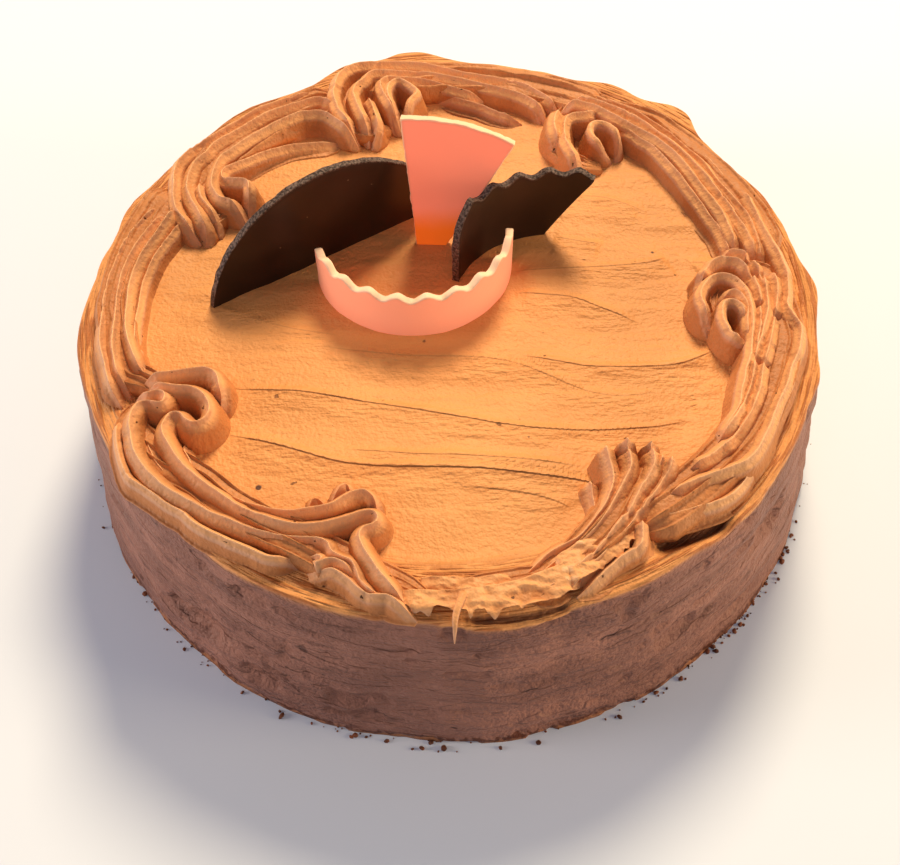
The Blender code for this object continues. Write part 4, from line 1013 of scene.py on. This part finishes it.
chocolate = {
    "sink": 4.0, "darkThickness": 2.0, "pinkThickness": 2.2, "cell": 0.7, "edgeRound": 0.4,
    "scallopPitch": 8.5, "scallopDepth": 1.1,
    "dark": ((0.018, 0.006, 0.003), (0.034, 0.012, 0.006)), "darkSpeck": (0.30, 0.18, 0.12),
    "darkEdge": (0.20, 0.125, 0.095), "pinkSpeck": (0.45, 0.05, 0.03),
    # pink looks: painted glow, emission standing in for light that shines through,
    # levels of the low and middle colours in metres, then the colours low down, in the middle and along the
    # edge
    "pinkWedge": (0.34, (0.062, 0.071), (0.86, 0.17, 0.015), (0.95, 0.25, 0.145), (0.97, 0.60, 0.36)),
    "pinkStrip": (0.24, (0.054, 0.066), (0.93, 0.33, 0.19), (0.96, 0.38, 0.23), (0.97, 0.62, 0.40)),
}
halfMoon = {"radius": 39.5, "drop": 7.6, "start": (-66.9, -4.0), "reach": 37.0, "direction": 32.2}
wedge = {"radius": 56.0, "drop": 14.3, "across": 1.3, "foot": (-9.8, 19.4), "spread": (-5.8, 28.2),
         "turn": -5.0, "lean": 11.0}
crescent = {"centre": (-10.6, 11.1), "radius": 28.7, "ends": (194.0, 361.0), "height": 15.2, "endDrop": 2.2}
fan = {"centre": (31.2, -9.1), "radius": 31.3, "ends": (157.5, 71.5), "height": 24.0, "endDrop": 9.0,
       "pointDrop": 2.0, "footEnd": 94.8}


def standing(foot, direction, lean=0.0):  # matrix from a flat outline (x across, y up) to the frosting
    turn = Matrix.Rotation(math.radians(direction), 4, "Z")
    tilt = Matrix.Rotation(math.pi / 2.0 - math.radians(lean), 4, "X")
    return Matrix.Translation((foot[0] * mm, foot[1] * mm, cake["height"] * mm)) @ turn @ tilt


def placeKey(vert):  # front and back start from the same places
    return tuple(round(value, 7) for value in vert.co)


def plateMesh(columns, rows, surface, thickness, seed):
    # surface gives the middle of the plate for shares from 0 to 1 across and up, with its normal
    bm = bmesh.new()
    column, row = surfaceGrid(bm, columns, rows)
    u, v = column / (columns - 1), row / (rows - 1)
    middle, normal = surface(u, v)
    moveVertices(bm, middle)
    layer = bm.verts.layers.float.new("edge")
    rimDistance = np.minimum(np.minimum(u * (columns - 1), (1 - u) * (columns - 1)), (1 - v) * (rows - 1))
    for vert, distance in zip(bm.verts, rimDistance):
        vert[layer] = max(0.0, 1.0 - distance / 3.0)
    half = thickness * mm / 2.0
    front = list(bm.verts)
    outward = {placeKey(vert): Vector(direction) for vert, direction in zip(front, normal)}
    drawn = bmesh.ops.extrude_face_region(bm, geom=list(bm.faces), use_keep_orig=True)["geom"]
    back = [item for item in drawn if isinstance(item, bmesh.types.BMVert)]
    for verts, way in ((back, -half), (front, half)):
        for vert in verts:
            vert.co += outward[placeKey(vert)] * way
    bmesh.ops.recalc_face_normals(bm, faces=bm.faces)
    sharp = [edge for edge in bm.edges if edge.is_manifold and edge.calc_face_angle(0.0) > 0.8]
    bmesh.ops.bevel(bm, geom=sharp, offset=chocolate["edgeRound"] * mm, segments=2, profile=0.5,
                    affect="EDGES", material=-1, clamp_overlap=True)
    places = placesOf(bm)
    rim = np.array([vert[layer] for vert in bm.verts])
    rough = np.column_stack([crumple(places, (2.2, 2.2, 2.2), seed + axis) for axis in range(3)])
    moveVertices(bm, places + rough * (rim ** 2)[:, None] * 0.2 * mm)
    return bm


def transformed(matrix, across, up):  # places and normals of a flat outline in millimetres
    flat = np.column_stack((across * mm, up * mm, np.zeros(len(across)), np.ones(len(across))))
    places = flat @ np.array(matrix).T
    normal = np.array(matrix.to_3x3() @ Vector((0, 0, 1)))
    return places[:, :3], np.tile(normal, (len(across), 1))


def moonSurface(u, v):
    half = math.sqrt(halfMoon["radius"] ** 2 - (halfMoon["drop"] - chocolate["sink"]) ** 2)
    across = half * np.sin(math.pi * (u - 0.5)) * 0.999
    bottom = -chocolate["sink"]
    top = np.sqrt(np.maximum(halfMoon["radius"] ** 2 - across ** 2, 0.0)) - halfMoon["drop"]
    up = bottom + (np.maximum(top, bottom + 0.6) - bottom) * v
    return transformed(standing(halfMoon["start"], halfMoon["direction"]), halfMoon["reach"] + across, up)


def wedgeSurface(u, v):
    left, right = np.radians(wedge["spread"])
    angle = left + (right - left) * u
    low = (wedge["drop"] - chocolate["sink"]) / np.cos(angle)
    reach = low + (wedge["radius"] - low) * v
    across = wedge["across"] + reach * np.sin(angle)
    up = reach * np.cos(angle) - wedge["drop"]
    return transformed(standing(wedge["foot"], wedge["turn"], wedge["lean"]), across, up)


def scallops(distance):
    return chocolate["scallopDepth"] * np.cos(2.0 * math.pi * distance / chocolate["scallopPitch"])


def bentSurface(settings, edges, inset):  # inset moves the middle of the plate off the named radius
    length = math.radians(abs(settings["ends"][1] - settings["ends"][0])) * settings["radius"]

    def surface(u, v):
        angle = np.radians(settings["ends"][0] + (settings["ends"][1] - settings["ends"][0]) * u)
        low, high = edges(u, length)
        radius = settings["radius"] + inset
        x = settings["centre"][0] + radius * np.cos(angle)
        y = settings["centre"][1] + radius * np.sin(angle)
        z = cake["height"] + low + (high - low) * v
        normal = np.column_stack((np.cos(angle), np.sin(angle), np.zeros(len(u))))
        return np.column_stack((x, y, z)) * mm, normal

    return surface


def crescentEdges(share, length):
    fromEnd = np.minimum(share, 1.0 - share) * length
    rounding = np.clip(1.0 - fromEnd / 4.0, 0.0, 1.0)
    wave = scallops(share * length) * (1.0 - rounding)
    top = crescent["height"] + wave - crescent["endDrop"] * rounding ** 2
    return np.full(len(share), -chocolate["sink"]), top


def fanEdges(share, length):
    angle = fan["ends"][0] + (fan["ends"][1] - fan["ends"][0]) * share
    rounding = np.clip(1.0 - share * length / 8.0, 0.0, 1.0)
    wave = scallops(share * length) * (1.0 - rounding)
    top = fan["height"] + wave - fan["endDrop"] * rounding ** 2
    slope = (fan["height"] - fan["pointDrop"]) / (fan["footEnd"] - fan["ends"][1])
    return np.maximum(-chocolate["sink"], (fan["footEnd"] - angle) * slope), top


def darkLook():
    look = Look("dark chocolate", {"Roughness": 0.4, "IOR": 1.45, "Specular IOR Level": 0.4})
    edge = look.stored("edge")
    cloud = look.noise(40.0, 3.0)
    grain = look.noise(1400.0, 3.0)
    low, high = chocolate["dark"]
    look.feed("Base Color", look.layered(
        low,
        (cloud.ramp(0.35, 0.7), high),
        (look.pits(500.0, 0.035) * 0.5, chocolate["darkSpeck"]),
        (edge.ramp(0.6, 0.95) * grain.ramp(0.35, 0.7), chocolate["darkEdge"]),
    ))
    look.feed("Roughness", edge * 0.35 + cloud * 0.1 + 0.33)
    look.bump(grain * edge.ramp(0.5, 0.9) * 0.35 + look.noise(300.0, 2.0) * 0.03)
    return look


def pinkLook(name, glow, levels, low, middle, rim):
    # the emission strength is a painted glow, standing in for light shining through the thin plate
    glossAndGlow = {"Roughness": 0.42, "IOR": 1.45, "Specular IOR Level": 0.4, "Emission Strength": glow}
    look = Look(name, glossAndGlow)
    edge = look.stored("edge")
    cloud = look.noise(60.0, 3.0)
    grain = look.noise(1200.0, 2.0)
    colour = look.layered(
        low,
        ((look.axis("Z") + cloud * 0.004).ramp(*levels), middle),
        (look.pits(330.0, 0.02) * 0.6, chocolate["pinkSpeck"]),
        (edge.ramp(0.7, 0.98), rim),
    )
    look.feed("Base Color", colour)
    # painted glow: the plate's colour sent out as emission, none along the edge
    look.feed("Emission Color", look.blend(edge.ramp(0.5, 0.95) * 0.8, colour, (0.0, 0.0, 0.0)))
    look.feed("Roughness", edge * 0.2 + cloud * 0.1 + 0.34)
    look.bump(grain * 0.03 + look.noise(260.0, 2.0) * 0.05)
    return look


def makeChocolate():
    darkThickness, pinkThickness = chocolate["darkThickness"], chocolate["pinkThickness"]
    dark = ("dark_chocolate", darkThickness, darkLook())
    pinkWedge = ("pink_chocolate", pinkThickness, pinkLook("pink chocolate", *chocolate["pinkWedge"]))
    pinkStrip = ("pink_chocolate", pinkThickness, pinkLook("pink chocolate strip", *chocolate["pinkStrip"]))
    crescentSurface = bentSurface(crescent, crescentEdges, -pinkThickness / 2.0)
    fanSurface = bentSurface(fan, fanEdges, darkThickness / 2.0)
    # each plate: piece, node, kind, surface, size across and up in millimetres, seed
    plates = (
        ("darkHalfMoon", "chocolate_half_moon", dark, moonSurface, (90, 36), 101),
        ("pinkWedge", "chocolate_wedge", pinkWedge, wedgeSurface, (34, 46), 107),
        ("pinkCrescent", "chocolate_crescent", pinkStrip, crescentSurface, (84, 19), 113),
        ("darkFan", "chocolate_fan", dark, fanSurface, (48, 28), 127),
    )
    for name, node, (slot, thickness, look), surface, size, seed in plates:
        columns, rows = (round(length / chocolate["cell"]) for length in size)
        addPiece(name, plateMesh(columns, rows, surface, thickness, seed), look, slot, node)


# floor, light and camera

studio = {
    "floor": 3.0, "floorColour": (0.74, 0.78, 0.88), "aim": (0, 0, 0.05),
    # each light: place, size, power and colour
    "lights": {
        "key": ((0.2, 1.0, 1.22), 0.5, 31.0, (1.0, 0.83, 0.55)),
        "leftSide": ((-1.3, -0.1, 0.34), 0.5, 9.5, (1.0, 0.88, 0.80)),
        "rightSide": ((1.3, -0.25, 0.34), 0.5, 12.0, (1.0, 0.80, 0.50)),
        "front": ((-0.2, -1.2, 0.9), 1.2, 1.6, (0.86, 0.90, 1.0)),
    },
    "world": (0.80, 0.82, 0.92), "worldStrength": 0.29,
    "eye": (-0.0004, -0.2243, 0.3090), "tilt": 0.9077, "roll": -0.0104, "lens": 46.75, "shift": -0.0806,
}


def makeStudio():
    bm = bmesh.new()
    bmesh.ops.create_grid(bm, x_segments=4, y_segments=4, size=studio["floor"])
    mesh = bpy.data.meshes.new("floor")
    bm.to_mesh(mesh)
    bm.free()
    look = Look("pale floor", {"Roughness": 0.75, "Base Color": (*studio["floorColour"], 1.0)})
    mesh.materials.append(look.material)
    floor = bpy.data.objects.new("floor", mesh)
    bpy.context.scene.collection.objects.link(floor)
    for name, (place, size, power, colour) in studio["lights"].items():
        light = bpy.data.lights.new(name, "AREA")
        light.shape = "DISK"
        light.size = size
        light.energy = power
        light.color = colour
        lamp = bpy.data.objects.new(name, light)
        lamp.location = place
        lamp.rotation_euler = (Vector(studio["aim"]) - Vector(place)).to_track_quat("-Z", "Y").to_euler()
        bpy.context.scene.collection.objects.link(lamp)
    world = bpy.data.worlds.new("studio air")
    world.use_nodes = True
    background = world.node_tree.nodes["Background"]
    background.inputs["Color"].default_value = (*studio["world"], 1.0)
    background.inputs["Strength"].default_value = studio["worldStrength"]
    bpy.context.scene.world = world
    print("studio lit")


def makeCamera():
    camera = bpy.data.cameras.new("camera")
    camera.lens = studio["lens"]
    camera.sensor_width = 36.0
    camera.shift_y = studio["shift"]
    camera.clip_start = 0.01
    eye = bpy.data.objects.new("camera", camera)
    tilt, roll = studio["tilt"], studio["roll"]
    forward = Vector((0.0, math.cos(tilt), -math.sin(tilt)))
    up = Vector((0.0, math.sin(tilt), math.cos(tilt)))
    right = Vector((1.0, 0.0, 0.0))
    level = right * math.cos(roll) + up * math.sin(roll)
    upright = up * math.cos(roll) - right * math.sin(roll)
    axes = Matrix((level, upright, -forward)).transposed().to_4x4()
    eye.matrix_world = Matrix.Translation(studio["eye"]) @ axes
    bpy.context.scene.collection.objects.link(eye)
    bpy.context.scene.camera = eye


makeFrosting()
makeCrumbs()
icing = pipingLook()
for number, scrollName in enumerate(scrolls):
    makeScroll(scrollName, icing, piping["seed"] + 10 * number)
makeChocolate()
makeStudio()
makeCamera()
bpy.context.scene.view_settings.view_transform = "Standard"
print("cake dressed")
